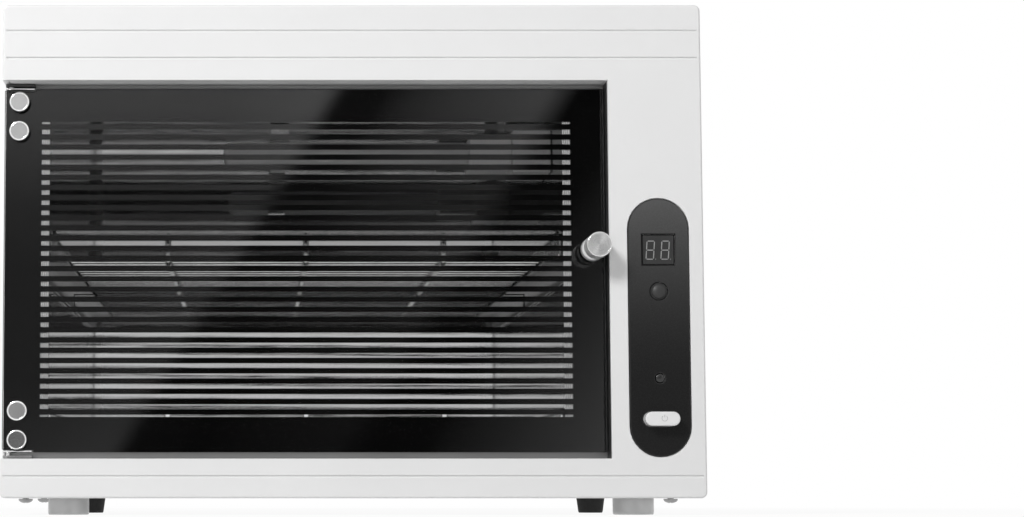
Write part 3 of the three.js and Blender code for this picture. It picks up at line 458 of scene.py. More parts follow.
def mesh_piece(name, bm, finishes, body, nodes=()):
    """A piece from edited mesh data, shaded smooth apart from its sharp edges."""
    mesh = bpy.data.meshes.new(name)
    bm.to_mesh(mesh)
    bm.free()
    for finish in finishes:
        mesh.materials.append(MATERIALS[finish])
    mesh.shade_smooth()
    mesh.set_sharp_from_angle(angle=SHARP_ANGLE)
    piece = add_object(name, mesh)
    normals = piece.modifiers.new("flat_faces_first", "WEIGHTED_NORMAL")
    normals.keep_sharp = True
    normals.weight = 100
    settle(piece, body, nodes)


def stand_in(name, bm, finishes, node):
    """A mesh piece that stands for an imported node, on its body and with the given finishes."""
    body = body_of(frame["nodes"][node])[0]
    mesh_piece(name, bm, finishes, body, [node])


def wires(name, paths, radius, finishes, body, nodes=()):
    """Round wires as one curve. A path holds its points, its share of the radius, if it closes and,
    where it isn't the first one, the index of its finish."""
    curve = bpy.data.curves.new(name, "CURVE")
    curve.dimensions = "3D"
    curve.bevel_depth = radius
    curve.bevel_resolution = 3
    curve.use_fill_caps = True
    for points, share, closed, *finish in paths:
        spline = curve.splines.new("POLY")
        spline.material_index = finish[0] if finish else 0
        spline.points.add(len(points) - 1)
        spline.use_cyclic_u = closed
        for knot, place in zip(spline.points, points):
            knot.co = (*place, 1)
            knot.radius = share
    for finish in finishes:
        curve.materials.append(MATERIALS[finish])
    settle(add_object(name, curve), body, nodes)


def round_corners(points, radius, steps=5, closed=False):
    """The points of a path or profile, with each corner rounded off."""
    places = [Vector(point) for point in points]
    rounded = []
    for index, corner in enumerate(places):
        if not closed and index in (0, len(places) - 1):
            rounded.append(corner)
            continue
        before = places[index - 1] - corner
        after = places[(index + 1) % len(places)] - corner
        reach = min(radius, before.length / 2, after.length / 2)
        start = corner + before.normalized() * reach
        end = corner + after.normalized() * reach
        for step in range(steps + 1):
            t = step / steps
            rounded.append(start * (1 - t) ** 2 + corner * 2 * t * (1 - t) + end * t ** 2)
    return rounded


def dome_profile(radius, rise, steps=8):
    """A profile that curves from the axis out to the radius, as far as the rise."""
    turns = [math.pi / 2 * step / steps for step in range(steps + 1)]
    return [(radius * math.sin(turn), rise * (1 - math.cos(turn))) for turn in turns]


def skin(rings, loop=False):
    """A closed body over rings of equal count. A ring whose points meet closes that end by itself."""
    bm = bmesh.new()
    rows = [[bm.verts.new(place) for place in ring] for ring in rings]
    count = len(rows[0])
    pairs = list(zip(rows, rows[1:]))
    if loop:
        pairs.append((rows[-1], rows[0]))
    for row, following in pairs:
        for index in range(count):
            beside = (index + 1) % count
            bm.faces.new((row[index], row[beside], following[beside], following[index]))
    if not loop:
        for ring, row in ((rings[0], rows[0]), (rings[-1], rows[-1])):
            if (Vector(ring[0]) - Vector(ring[count // 2])).length > SAME_PLACE:
                bm.faces.new(row)
    bmesh.ops.remove_doubles(bm, verts=bm.verts, dist=SAME_PLACE / 2)
    bmesh.ops.recalc_face_normals(bm, faces=bm.faces)
    return bm


def axes_about(axis):
    """The axis, and two directions square to it."""
    along = Vector(axis)
    across = Vector(ALONG_Z) if abs(along.z) < 0.5 else Vector(ALONG_X)
    return along, across, along.cross(across)


def turned(profile, origin, axis, sides=64, loop=False):
    """A profile of radius and height turned about an axis through a place."""
    along, across, beside = axes_about(axis)
    turns = [2 * math.pi * side / sides for side in range(sides)]
    rings = []
    for radius, height in profile:
        middle = Vector(origin) + along * height
        rings.append([middle + (across * math.cos(a) + beside * math.sin(a)) * radius for a in turns])
    return skin(rings, loop)


def turned_in(node, profile, sides=64):
    """A profile turned about the middle of a node's box, from its front backwards."""
    low, high, middle = box_of(node)
    return turned(profile, (middle.x, low.y, middle.z), ALONG_Y, sides)


def off_axis(face, middle):
    """How far a face is from the line along Y through a place."""
    offset = face.calc_center_median() - middle
    return math.hypot(offset.x, offset.z)


def plate_outline(width, height, corner, inset, steps):
    """Points of a rounded rectangle about zero, drawn in by an inset. They run counter-clockwise."""
    radius = max(corner - inset, 0)
    half_width = width / 2 - inset - radius
    half_height = height / 2 - inset - radius
    points = []
    for turn, (side, up) in enumerate(((1, 1), (-1, 1), (-1, -1), (1, -1))):
        for step in range(steps + 1):
            angle = (turn + step / steps) * math.pi / 2
            x = side * half_width + radius * math.cos(angle)
            points.append((x, up * half_height + radius * math.sin(angle)))
    return points


def plate(centre, width, height, corner, profile, steps=4):
    """A rounded plate in X and Z, whose profile gives inset and depth from front to back."""
    rings = []
    for inset, depth in profile:
        outline = plate_outline(width, height, corner, inset, steps)
        rings.append([Vector((centre[0] + x, depth, centre[1] + z)) for x, z in outline])
    return skin(rings)


def merged_copy(node):
    """A node's mesh with its triangles merged into flat faces."""
    bm = bmesh.new()
    bm.from_mesh(frame["nodes"][node].data)
    bmesh.ops.remove_doubles(bm, verts=bm.verts, dist=SAME_PLACE)
    bmesh.ops.dissolve_limit(bm, angle_limit=math.radians(1), verts=bm.verts, edges=bm.edges)
    return bm


def round_edges(bm, width, segments=2, chosen=None):
    """Rounds the sharp edges of a mesh, or those that the test chooses by their middle."""
    edges = []
    for edge in bm.edges:
        middle = (edge.verts[0].co + edge.verts[1].co) / 2
        is_corner = edge.is_manifold and edge.is_convex and edge.calc_face_angle() > SHARP_ANGLE
        if is_corner and (chosen is None or chosen(middle)):
            edges.append(edge)
    bmesh.ops.bevel(
        bm, geom=edges, offset=width, segments=segments, profile=0.5, affect="EDGES", clamp_overlap=False
    )


def join_meshes(first, *others):
    """Several closed bodies in one mesh."""
    for other in others:
        mesh = bpy.data.meshes.new("joined")
        other.to_mesh(mesh)
        other.free()
        first.from_mesh(mesh)
        bpy.data.meshes.remove(mesh)
    return first


def cut_away(bm, cutter):
    """The first body less the second."""
    bodies = []
    for part in (bm, cutter):
        mesh = bpy.data.meshes.new("cut")
        part.to_mesh(mesh)
        part.free()
        bodies.append(add_object("cut", mesh))
    difference = bodies[0].modifiers.new("cut", "BOOLEAN")
    difference.operation = "DIFFERENCE"
    difference.solver = "EXACT"
    difference.object = bodies[1]
    result = bmesh.new()
    result.from_object(bodies[0], bpy.context.evaluated_depsgraph_get())
    for body in bodies:
        mesh = body.data
        bpy.data.objects.remove(body)
        bpy.data.meshes.remove(mesh)
    return result


def cross_prism(place, axis, reach, width, depth):
    """A driver's cross, which narrows from outside a head's face to its depth inside."""
    along, across, beside = axes_about(axis)
    outer_share = 1.2
    inner_share = 0.6
    half = width / 2
    rings = []
    for shift, share in ((-depth, outer_share), (depth, inner_share)):
        arm = reach / 2 * share
        ring = []
        for turn in range(4):
            angle = turn * math.pi / 2
            for a, b in ((arm, -half), (arm, half), (half, half)):
                x = a * math.cos(angle) - b * math.sin(angle)
                y = a * math.sin(angle) + b * math.cos(angle)
                ring.append(Vector(place) + along * shift + across * x + beside * y)
        rings.append(ring)
    return skin(rings)


# Body

def make_fascia():
    """The moulding, with a round front edge, softened grooves and a softened recess."""
    corner = 3.1 * MM
    edge = 1.1 * MM
    groove_edge = 0.3 * MM
    low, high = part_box("front_fascia")

    def on_face(middle):
        return middle.y - low.y < NEAR_FACE

    def on_outline(middle):
        from_side = min(middle.x - low.x, high.x - middle.x)
        from_end = min(middle.z - low.z, high.z - middle.z)
        at_edge = min(from_side, from_end) < NEAR_FACE
        at_corner = max(from_side, from_end) < corner
        return on_face(middle) and (at_edge or at_corner)

    bm = merged_copy("front_fascia")
    round_edges(bm, edge, 5, on_outline)
    round_edges(bm, groove_edge, 3, on_face)
    stand_in("fascia_moulding", bm, ["white_plastic"], "front_fascia")


def make_frame():
    """The plate behind the door, with painted light on its upper lip and painted shade on its side lip and
    lower front.
    """
    edge = 0.2 * MM
    near = 1 * MM
    facing = 0.5
    light, dark = 1, 2
    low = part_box("front_frame")[0]
    door_low, door_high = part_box("door_panel")
    bm = merged_copy("front_frame")
    round_edges(bm, edge)
    # Painted light on the upper lip's underside and front; painted shade on the side lip and on the lower
    # and side fronts, where shade falls in the gaps round the door.
    for face in bm.faces:
        place = face.calc_center_median()
        at_front = place.y - low.y < near
        above = place.z > door_high.z - near
        beside = place.x > door_high.x - near
        below = place.z < door_low.z + near
        if above and face.normal.z < -facing:
            face.material_index = light
        elif beside and face.normal.x < -facing:
            face.material_index = dark
        elif at_front and (below or beside):
            face.material_index = dark
        elif at_front and above:
            face.material_index = light
    stand_in("front_frame_plate", bm, ["grey_metal", "lip_grey", "painted_shade_steel"], "front_frame")


# Door

def make_door_panel():
    """The tinted sheet, polished on its faces; its sawn edges frosted and painted light as a highlight, and
    its right edge painted dark as shade.
    """
    edge = 0.35 * MM
    facing_right = 0.6
    facing_out = 0.4
    bm = merged_copy("door_panel")
    round_edges(bm, edge)
    # The right edge gets the display's dark as painted shade; the other sawn edges get a light frosted grey,
    # partly painted highlight.
    for face in bm.faces:
        if face.normal.x > facing_right:
            face.material_index = 2
        elif abs(face.normal.y) < facing_out:
            face.material_index = 1
    stand_in("door_sheet", bm, ["tinted_panel", "frosted_edge_and_highlight", "display_pane"], "door_panel")


def make_knob():
    """The knob's collar, waist and cap, each edge broken by the lathe."""
    cap = 6 * MM
    cap_length = 11.5 * MM
    collar = 5.85 * MM
    collar_length = 6 * MM
    collar_chamfer = 1.5 * MM
    neck = 4.1 * MM
    rim = 0.7 * MM
    dish = 0.15 * MM
    rounding = 0.5 * MM
    low, high, middle = box_of("door_knob")
    length = high.y - low.y
    collar_start = length - collar_length
    corners = [(0, dish), (cap - rim, dish), (cap - rim, 0), (cap, 0), (cap, cap_length), (neck, cap_length)]
    corners += [(neck, collar_start), (collar - collar_chamfer, collar_start)]
    corners += [(collar, collar_start + collar_chamfer), (collar, length), (0, length)]
    bm = turned_in("door_knob", round_corners(corners, rounding, 4), 96)
    for face in bm.faces:
        if face.calc_center_median().y > low.y + rim:
            face.material_index = 2
        elif off_axis(face, middle) > cap - rim:
            face.material_index = 1
    stand_in("knob_turning", bm, ["turned_steel", "polished_steel", "satin_steel"], "door_knob")


def make_hinge_discs():
    """The four disc heads on the door, each with a raised rim, and their shanks. The lowest is painted
    darker, as painted shade.
    """
    head = 1.4 * MM
    shank = 1.7 * MM
    dish = 0.10 * MM
    # The raised rim, as insets from the disc's edge and depths behind its front
    rim = ((0.95 * MM, dish), (0.85 * MM, 0), (0.62 * MM, 0), (0.24 * MM, 0.14 * MM), (0, 0.62 * MM))
    polish_inset = 0.9 * MM
    rounding = 0.15 * MM
    numbers = range(1, 5)
    lowest = min(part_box(f"hinge_screw_{number}")[0].z for number in numbers)
    for number in numbers:
        node = f"hinge_screw_{number}"
        low, high, middle = box_of(node)
        radius = (high.x - low.x) / 2
        length = high.y - low.y
        corners = [(0, dish)] + [(radius - inset, depth) for inset, depth in rim]
        corners += [(radius, head), (shank, head), (shank, length), (0, length)]
        bm = turned_in(node, round_corners(corners, rounding, 3))
        for face in bm.faces:
            if off_axis(face, middle) > radius - polish_inset:
                face.material_index = 1
        # The lowest disc gets a darker steel: painted shade, standing for the darker reflection it shows.
        face_steel = "painted_shade_disc" if low.z == lowest else "disc_steel"
        stand_in(f"hinge_disc_{number}", bm, [face_steel, "polished_steel"], node)


def make_ink_corners():
    """The black border's ink in front of each hinge leaf, where the printed film is cut back."""
    edge = 0.4 * MM
    overlap = 1 * MM
    notch = 1.25 * MM
    corner = 0.5 * MM
    ink_start = 0.02 * MM
    ink_end = 0.09 * MM
    panel_low, panel_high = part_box("door_panel")
    profile = [(0, panel_high.y + depth) for depth in (ink_start, ink_end)]
    for end in ("top", "bottom"):
        low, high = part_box(f"hinge_plate_{end}")
        across = (panel_low.x + edge, high.x + overlap)
        if end == "top":
            upright = (low.z - overlap, panel_high.z - notch)
        else:
            upright = (panel_low.z + notch, high.z + overlap)
        centre = (sum(across) / 2, sum(upright) / 2)
        bm = plate(centre, across[1] - across[0], upright[1] - upright[0], corner, profile)
        mesh_piece(f"ink_corner_{end}", bm, ["black_print"], "door")


def make_door_highlight_strips():
    """Ribbed pale strips on the door's back, at each end of its openings: painted highlight, standing for
    the bright reflections of the chamber's mouth.
    """
    wall = 1.2 * MM
    rib = 0.5 * MM
    ribs = 4
    short = 0.2 * MM
    low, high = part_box("chamber_liner")
    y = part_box("door_print")[1].y + rib
    ends = (low.z + wall + short, high.z - wall - short)
    for side, start, inward in (("left", low.x + wall, 1), ("right", high.x - wall, -1)):
        paths = []
        for index in range(ribs):
            x = start + inward * rib * (1 + 2 * index)
            paths.append(([(x, y, end) for end in ends], 1, False))
        # Pale grey strips: painted highlight for the bright ends of the openings.
        wires(f"door_highlight_strip_{side}", paths, rib, ["lip_grey"], "door")


# Control panel

def make_panel():
    """The pill-shaped plate with a rounded edge, whose edge and sides are matt black as painted shade for
    the gap round it.
    """
    edge = 0.45 * MM
    facing_front = 0.98
    bm = merged_copy("control_panel")
    round_edges(bm, edge, 3, lambda middle: middle.y - FACE < NEAR_FACE)
    # Painted shade: the edge and sides get matt black for the dark gap round the plate.
    for face in bm.faces:
        if face.normal.y > -facing_front:
            face.material_index = 1
    stand_in("control_plate", bm, ["panel_face", "black_rubber"], "control_panel")


# How far the display's face is set back in its window
PANE_SETBACK = 0.15 * MM


def make_pane():
    """The display's dark pane, with a soft edge."""
    inset = 0.35 * MM
    corner = 0.5 * MM
    face_inset = 0.3 * MM
    shoulder_inset = 0.1 * MM
    shoulder = 0.06 * MM
    side_start = 0.25 * MM
    low, high, middle = box_of("display_window")
    front = low.y + PANE_SETBACK
    profile = [(face_inset, front), (shoulder_inset, front + shoulder), (0, front + side_start), (0, high.y)]
    width = high.x - low.x - 2 * inset
    height = high.z - low.z - 2 * inset
    bm = plate((middle.x, middle.z), width, height, corner, profile)
    stand_in("display_pane", bm, ["display_pane"], "display_window")


def digit_bar(x, z, length, width, upright, lean, depths):
    """A bar with pointed ends, leaning with its digit."""
    half = length / 2
    side = width / 2
    outline = [(-half, 0), (side - half, side), (half - side, side)]
    outline += [(-a, -b) for a, b in outline]
    if upright:
        outline = [(-b, a) for a, b in outline]
    return skin([[Vector((x + a + lean * b, depth, z + b)) for a, b in outline] for depth in depths])


def make_digits():
    """Two unlit digits on the pane, of seven bars and a point each."""
    width = 3.6 * MM
    height = 8.8 * MM
    stroke = 0.46 * MM
    space = 0.4 * MM
    lean = 0.07
    drop = 0.2 * MM
    digit_places = (-3.9 * MM, 3.3 * MM)
    point_gap = 1.1 * MM
    point_share = 1.01
    stand_out = 0.05 * MM
    low, high, middle = box_of("display_window")
    front = low.y + PANE_SETBACK
    depths = (front - stand_out, front + stand_out)
    bars = []
    for place in digit_places:
        for row in (-1, 0, 1):
            bars.append((place, row * height / 2, width - space, False))
            if row < 1:
                up = (row + 0.5) * height / 2
                for side in (-1, 1):
                    bars.append((place + side * width / 2, up, height / 2 - space, True))
        bars.append((place + width / 2 + point_gap, -height / 2, point_share * stroke, False))
    bodies = [
        digit_bar(middle.x + x + lean * z, middle.z - drop + z, length, stroke, upright, lean, depths)
        for x, z, length, upright in bars
    ]
    mesh_piece("display_digits", join_meshes(*bodies), ["digit_grey"], "cabinet")


def make_set_button():
    """A domed key that stands in a sunk ring of its own."""
    dome = 3.55 * MM
    rise = 1.5 * MM
    ring = 4.1 * MM
    ring_top = 1.7 * MM
    chamfer = 0.15 * MM
    flange_front = 4.2 * MM
    flange_back = 5.2 * MM
    stem = 1.4 * MM
    low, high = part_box("set_button")
    flange = (high.x - low.x) / 2
    length = high.y - low.y
    profile = dome_profile(dome, rise)
    profile += [(dome, ring_top), (ring - chamfer, ring_top), (ring, ring_top + chamfer)]
    profile += [(ring, flange_front), (flange, flange_front), (flange, flange_back)]
    profile += [(stem, flange_back), (stem, length), (0, length)]
    stand_in("set_key_dome", turned_in("set_button", profile), ["key_black"], "set_button")


def make_indicator():
    """The indicator's small domed lens and its light pipe."""
    clearance = 0.15 * MM
    rise = 0.35 * MM
    low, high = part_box("indicator_lens")
    radius = (high.x - low.x) / 2 - clearance
    length = high.y - low.y
    profile = [*dome_profile(radius, rise, 6), (radius, length), (0, length)]
    bm = turned_in("indicator_lens", profile, 40)
    stand_in("indicator_dome", bm, ["smoked_lens"], "indicator_lens")


def make_power_cap():
    """The white cap with a soft rim, two sunk rings round its skirt painted grey as shade, its flange and
    its stem.
    """
    rim = 1.2 * MM
    face_inset = 1.4 * MM
    rounding = 1.0 * MM
    ring = 1.1 * MM
    ring_inset = 0.6 * MM
    ring_slope = 0.1 * MM
    ring_places = (2.1 * MM, 3.9 * MM)
    stem = 1.8 * MM
    stem_length = 1.1 * MM
    low, high, middle = box_of("power_button")
    flange_front = high.y - 2.0 * MM
    flange_back = high.y - 0.8 * MM
    width = high.x - low.x - 2 * rim
    height = high.z - low.z - 2 * rim
    ring_starts = [low.y + place for place in ring_places]
    profile = round_corners([(face_inset, low.y), (0, low.y), (0, ring_starts[0])], rounding, 6)
    for start in ring_starts:
        profile += [(0, start), (ring_inset, start + ring_slope)]
        profile += [(ring_inset, start + ring_slope + ring), (0, start + 2 * ring_slope + ring)]
    profile += [(0, flange_front), (-rim, flange_front), (-rim, flange_back)]
    cap = plate((middle.x, middle.z), width, height, height / 2, profile, 16)
    # Painted shade: the faces in the sunk rings get grey.
    for face in cap.faces:
        depth = face.calc_center_median().y
        if any(start < depth < start + ring + 2 * ring_slope for start in ring_starts):
            face.material_index = 1
    stem_profile = [(0, 0), (stem, 0), (stem, stem_length), (0, stem_length)]
    stem_body = turned(stem_profile, (middle.x, high.y - stem_length, middle.z), ALONG_Y, 32)
    bm = join_meshes(cap, stem_body)
    stand_in("power_cap", bm, ["white_plastic", "grey_plastic"], "power_button")


def make_power_symbol():
    """The open ring and its tick on the power button's face."""
    line = 0.15 * MM
    radius = 1.35 * MM
    shift_x = 0.7 * MM
    shift_z = 0.2 * MM
    open_turn = 0.22 * math.pi
    tick_shares = (0.35, 1.25)
    steps = 28
    low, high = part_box("power_button")
    x = (low.x + high.x) / 2 + shift_x
    z = (low.z + high.z) / 2 + shift_z
    turns = [open_turn + (2 * math.pi - 2 * open_turn) * step / steps for step in range(steps + 1)]
    arc = [(x + radius * math.sin(turn), low.y, z + radius * math.cos(turn)) for turn in turns]
    tick = [(x, low.y, z + share * radius) for share in tick_shares]
    paths = [(arc, 1, False), (tick, 1, False)]
    wires("power_symbol", paths, line, ["symbol_grey"], "power_key")


# Feet and fasteners

def make_foot(node, shape, finish, taper, chamfer, rounding, sides):
    """A round foot that tapers downwards, hollowed a little under its screw."""
    hollow = 0.8 * MM
    hollow_share = 0.5
    chamfer_width, chamfer_height = chamfer
    low, high, middle = box_of(node)
    top = (high.x - low.x) / 2
    bottom = top - taper
    height = high.z - low.z
    corners = [(0, hollow), (bottom * hollow_share, hollow), (bottom * hollow_share, 0)]
    corners += [(bottom - chamfer_width, 0), (bottom, chamfer_height), (top, height), (0, height)]
    bm = turned(round_corners(corners, rounding, 4), (middle.x, middle.y, low.z), ALONG_Z, sides)
    stand_in(f"{node}_{shape}", bm, [finish], node)


def make_feet():
    """Round blocks in front and tapered ones behind."""
    for side in ("left", "right"):
        make_foot(
            f"front_foot_{side}", "block", "foot_grey", taper=0, chamfer=(0.2 * MM, 1.2 * MM),
            rounding=0.5 * MM, sides=64
        )
        make_foot(
            f"rear_foot_{side}", "cone", "black_rubber", taper=1.1 * MM, chamfer=(0.3 * MM, 0.9 * MM),
            rounding=0.4 * MM, sides=48
        )


def make_dome_screws(kind, axis, head, shank):
    """Four screws along the axis, with dome heads that have a driver's cross."""
    dome_share = 0.85
    cross_shares = (1.1, 0.28)
    depth_share = 0.55
    for number in range(1, 5):
        node = f"{kind}_{number}"
        low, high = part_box(node)
        radius = (high.x - low.x) / 2
        length = abs((high - low).dot(Vector(axis)))
        origin = (low + high) / 2 - Vector(axis) * length / 2
        profile = dome_profile(radius, head * dome_share)
        profile += [(radius, head), (shank, head), (shank, length), (0, length)]
        reach, width = [share * radius for share in cross_shares]
        cross = cross_prism(origin, axis, reach, width, depth_share * head)
        bm = cut_away(turned(profile, origin, axis, 48), cross)
        stand_in(f"{kind}_head_{number}", bm, ["plated_steel"], node)


def make_gland():
    """The cord's gland, with ribs round its tail and an open bore."""
    bore = 3.6 * MM
    body = 6 * MM
    flange_thick = 2.4 * MM
    flange_chamfer = 0.5 * MM
    tail = 8 * MM
    tail_wall = 1.2 * MM
    tip_chamfer = 0.3 * MM
    ribs = 4
    rib_pitch = 1.3 * MM
    rib_start = 0.3 * MM
    rib_width = 0.6 * MM
    rib_slope = 0.1 * MM
    rib_height = 0.45 * MM
    groove = 0.5 * MM
    low, high, middle = box_of("cord_gland")
    flange = (high.x - low.x) / 2
    outside = high.y - tail
    tip = bore + tail_wall
    profile = [(bore, low.y - outside), (body, low.y - outside), (body, 0), (flange, 0)]
    profile += [(flange, flange_thick - flange_chamfer), (flange - flange_chamfer, flange_thick)]
    profile.append((body, flange_thick))
    for index in range(ribs):
        start = flange_thick + rib_start + index * rib_pitch
        outer = body + (tip - body) * (start - flange_thick) / (tail - flange_thick)
        inner = outer - rib_height
        groove_start = start + rib_width + rib_slope
        profile += [(outer, start), (outer, start + rib_width)]
        profile += [(inner, groove_start), (inner, groove_start + groove)]
    profile += [(tip - tip_chamfer, tail), (bore, tail)]
    bm = turned(profile, (middle.x, outside, middle.z), ALONG_Y, 48, loop=True)
    stand_in("gland_moulding", bm, ["black_rubber"], "cord_gland")


# Inside

def make_shelf(node, body):
    """A shelf of round wires: cross wires and runners that turn up under one rim."""
    wire = 1.1 * MM
    rim = 1.5 * MM
    flat = rim * math.cos(math.pi / 6)
    fuse = 0.15 * MM
    corner = 4 * MM
    pitch = 12 * MM
    runner_pitch = 68 * MM
    low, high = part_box(node)
    x0, x1 = low.x + flat, high.x - flat
    y0, y1 = low.y + flat, high.y - flat
    rim_z = high.z - rim
    runner_z = low.z + rim
    floor_z = runner_z + rim + wire - fuse
    places = [(x0, y0, rim_z), (x1, y0, rim_z), (x1, y1, rim_z), (x0, y1, rim_z)]
    paths = [(round_corners(places, corner, 6, closed=True), 1, True)]
    count = math.floor((y1 - y0 - 2 * corner) / pitch)
    first = (y0 + y1 - count * pitch) / 2
    for index in range(count + 1):
        y = first + index * pitch
        places = [(x0, y, rim_z), (x0, y, floor_z), (x1, y, floor_z), (x1, y, rim_z)]
        paths.append((round_corners(places, corner), wire / rim, False))
    for side in (-1, 0, 1):
        x = (x0 + x1) / 2 + side * runner_pitch
        places = [(x, y0, rim_z), (x, y0, runner_z), (x, y1, runner_z), (x, y1, rim_z)]
        paths.append((round_corners(places, corner), 1, False, 1))
    wires(f"{node}_wires", paths, rim, ["shelf_steel", "ledge_steel"], body, [node])


# The distance between the axes of the lamp's two tubes
TUBE_PITCH = 15 * MM


def make_lamp_tubes():
    """Two glass tubes with domed tips, joined by a bridge."""
    tube = 6 * MM
    dome = 3.5 * MM
    neck = 2 * MM
    neck_inset = 1.2 * MM
    bridge = 3.2 * MM
    bridge_place = 8 * MM
    overlap = 2 * MM
    low, high, middle = box_of("lamp_tube")
    length = high.x - low.x
    profile = [*dome_profile(tube, dome), (tube, length - neck), (tube - neck_inset, length), (0, length)]
    bodies = []
    for side in (-1, 1):
        place = (low.x, middle.y + side * TUBE_PITCH / 2, middle.z)
        bodies.append(turned(profile, place, ALONG_X, 48))
    reach = TUBE_PITCH - 2 * tube + 2 * overlap
    bridge_profile = [(0, 0), (bridge, 0), (bridge, reach), (0, reach)]
    start = (low.x + bridge_place, middle.y - TUBE_PITCH / 2 + tube - overlap, middle.z)
    bodies.append(turned(bridge_profile, start, ALONG_Y, 32))
    stand_in("lamp_glass_tubes", join_meshes(*bodies), ["lamp_glass"], "lamp_tube")


def make_electrodes():
    """In each tube two posts, and a coil between their ends."""
    post = 0.3 * MM
    post_place = 2 * MM
    coil_share = 0.6
    coil_radius = 0.6 * MM
    coil_turns = 6
    steps = 40
    low, high, middle = box_of("lamp_tube")
    base_x = high.x - 0.5 * MM
    coil_x = high.x - 14 * MM
    paths = []
    for side in (-1, 1):
        y = middle.y + side * TUBE_PITCH / 2
        for post_y in (y - post_place, y + post_place):
            paths.append(([(base_x, post_y, middle.z), (coil_x, post_y, middle.z)], 1, False))
        coil = []
        for step in range(steps + 1):
            share = step / steps
            turn = share * 2 * math.pi * coil_turns
            x = coil_x + coil_radius * math.cos(turn)
            z = middle.z + coil_radius * math.sin(turn)
            coil.append((x, y + (2 * share - 1) * post_place, z))
        paths.append((coil, coil_share, False))
    wires("lamp_electrodes", paths, post, ["bright_steel"], "lamp")


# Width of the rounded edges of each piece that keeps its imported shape, in millimetres
SOFT_EDGES = {
    "outer_cover": 0.35,
    "rear_cover": 0.35,
    "base_plate": 0.3,
    "chamber_liner": 0.2,
    "liner_support_left": 0.3,
    "liner_support_right": 0.3,
    "shelf_ledge_left": 0.3,
    "shelf_ledge_right": 0.3,
    "lamp_base": 1.0,
    "lamp_socket": 0.7,
    "lamp_clip": 0.3,
    "ballast": 0.6,
    "terminal_block": 0.4,
    "control_board": 0.2,
    "display_module": 0.3,
    "set_switch": 0.25,
    "power_switch": 0.5,
    "micro_switch": 0.4,
    "micro_switch_plunger": 0.3,
    "door_magnet": 0.3,
    "magnet_holder": 0.7,
    "knob_screw": 0.3,
    "hinge_plate_top": 0.5,
    "hinge_plate_bottom": 0.5,
    "hinge_bracket_top": 0.25,
    "hinge_bracket_bottom": 0.25,
    "hinge_pin_top": 0.2,
    "hinge_pin_bottom": 0.2,
}

# Finishes of those that differ from their slot's plain finish
OWN_FINISHES = {
    "hinge_plate_top": "bright_steel",
    "hinge_plate_bottom": "bright_steel",
    # The upper bracket's near-black steel is painted shade for the dark gap above the door.
    "hinge_bracket_top": "painted_shade_steel",
    "hinge_bracket_bottom": "plated_steel",
    "shelf_ledge_left": "ledge_steel",
    "shelf_ledge_right": "ledge_steel",
}


def soften_the_rest():
    """Copies with rounded edges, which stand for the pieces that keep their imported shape."""
    for node, width in SOFT_EDGES.items():
        bm = merged_copy(node)
        round_edges(bm, width * MM)
        stand_in(f"{node}_finished", bm, [OWN_FINISHES.get(node, SLOTS[node])], node)


# Room

# The light that falls on surfaces from all round
AMBIENT = 0.36


def make_floor():
    """A pale floor that keeps the object's soft shadow. To the eye it turns white further away."""
    reach = 30.0
    near = 0.3
    far = 0.9
    near_level = 0.93
    corners = [(-reach, -reach, 0), (reach, -reach, 0), (reach, reach, 0), (-reach, reach, 0)]
    mesh = bpy.data.meshes.new("floor")
    mesh.from_pydata(corners, [], [(0, 1, 2, 3)])
    settings = {"Base Color": tone(0.9), "Roughness": 0.9, "Specular IOR Level": 0.0}
    material = start_material("floor_white", settings)
    tree = material.node_tree
    bright = add_node(tree, "Emission", None, {"Color": tone(1.0), "Strength": 1.0})
    rays = add_node(tree, "LightPath").outputs
    seen = math_node(tree, "MAXIMUM", rays["Is Camera Ray"], rays["Is Glossy Ray"])
    inputs = {0: object_place(tree)}
    distance = add_node(tree, "VectorMath", {"operation": "LENGTH"}, inputs).outputs["Value"]
    share = math_node(tree, "MULTIPLY", seen, span(tree, distance, near_level, 1.0, near, far))
    inputs = {0: share, 1: shader_of(material).outputs[0], 2: bright.outputs[0]}
    mixed = add_node(tree, "MixShader", None, inputs)
    tree.links.new(mixed.outputs[0], tree.nodes["Material Output"].inputs["Surface"])
    mesh.materials.append(material)
    add_object("floor", mesh)


# Dark flags in front of the object, which its glossy sides mirror. A stop's place is how far right of
# the leaning edge, or how far up, it stands at a metre's distance. Its levels are for the light area on
# the left, the middle area and the right area.
FLAG_LEAN = 0.6
FLAG_REACH = 0.3
ACROSS_STOPS = (
    (-0.300, (1, 0, 0)),
    (-0.115, (1, 0, 0)),
    (-0.076, (1.30, 0, 0)),
    (-0.067, (0, 0.04, 0.04)),
    (-0.050, (0, 0.04, 0.04)),
    (-0.038, (0, 0.30, 0)),
    (-0.015, (0, 0.60, 0)),
    (0.021, (0, 0.95, 0)),
    (0.034, (0, 0, 0.03)),
    (0.060, (0, 0, 0.04)),
    (0.090, (0, 0, 0.25)),
    (0.121, (0, 0, 0.56)),
    (0.140, (0, 0, 0.80)),
    (0.165, (0, 0, 0.20)),
    (0.300, (0, 0, 0.20)),
)
UPWARD_REACH = 0.4
UPWARD_STOPS = (
    (0.000, (0.45, 0.10, 1)),
    (0.024, (0.38, 0.10, 1)),
    (0.050, (0.26, 0.12, 1)),
    (0.100, (0.28, 0.20, 1)),
    (0.126, (0.38, 0.35, 1)),
    (0.150, (0.66, 0.60, 1)),
    (0.172, (0.98, 1, 1)),
    (0.260, (1, 1, 1)),
    (0.400, (1, 1, 1)),
)


def ramp_of(tree, value, stops, start, end):
    """Levels read from a few stops of a value between a start and an end."""
    node = add_node(tree, "ValToRGB", None, {0: span(tree, value, 0, 1, start, end)})
    elements = node.color_ramp.elements
    while len(elements) < len(stops):
        elements.new(1.0)
    for element, (place, level) in zip(elements, stops):
        element.position = (place - start) / (end - start)
        element.color = (*level, 1)
    return node.outputs[0]


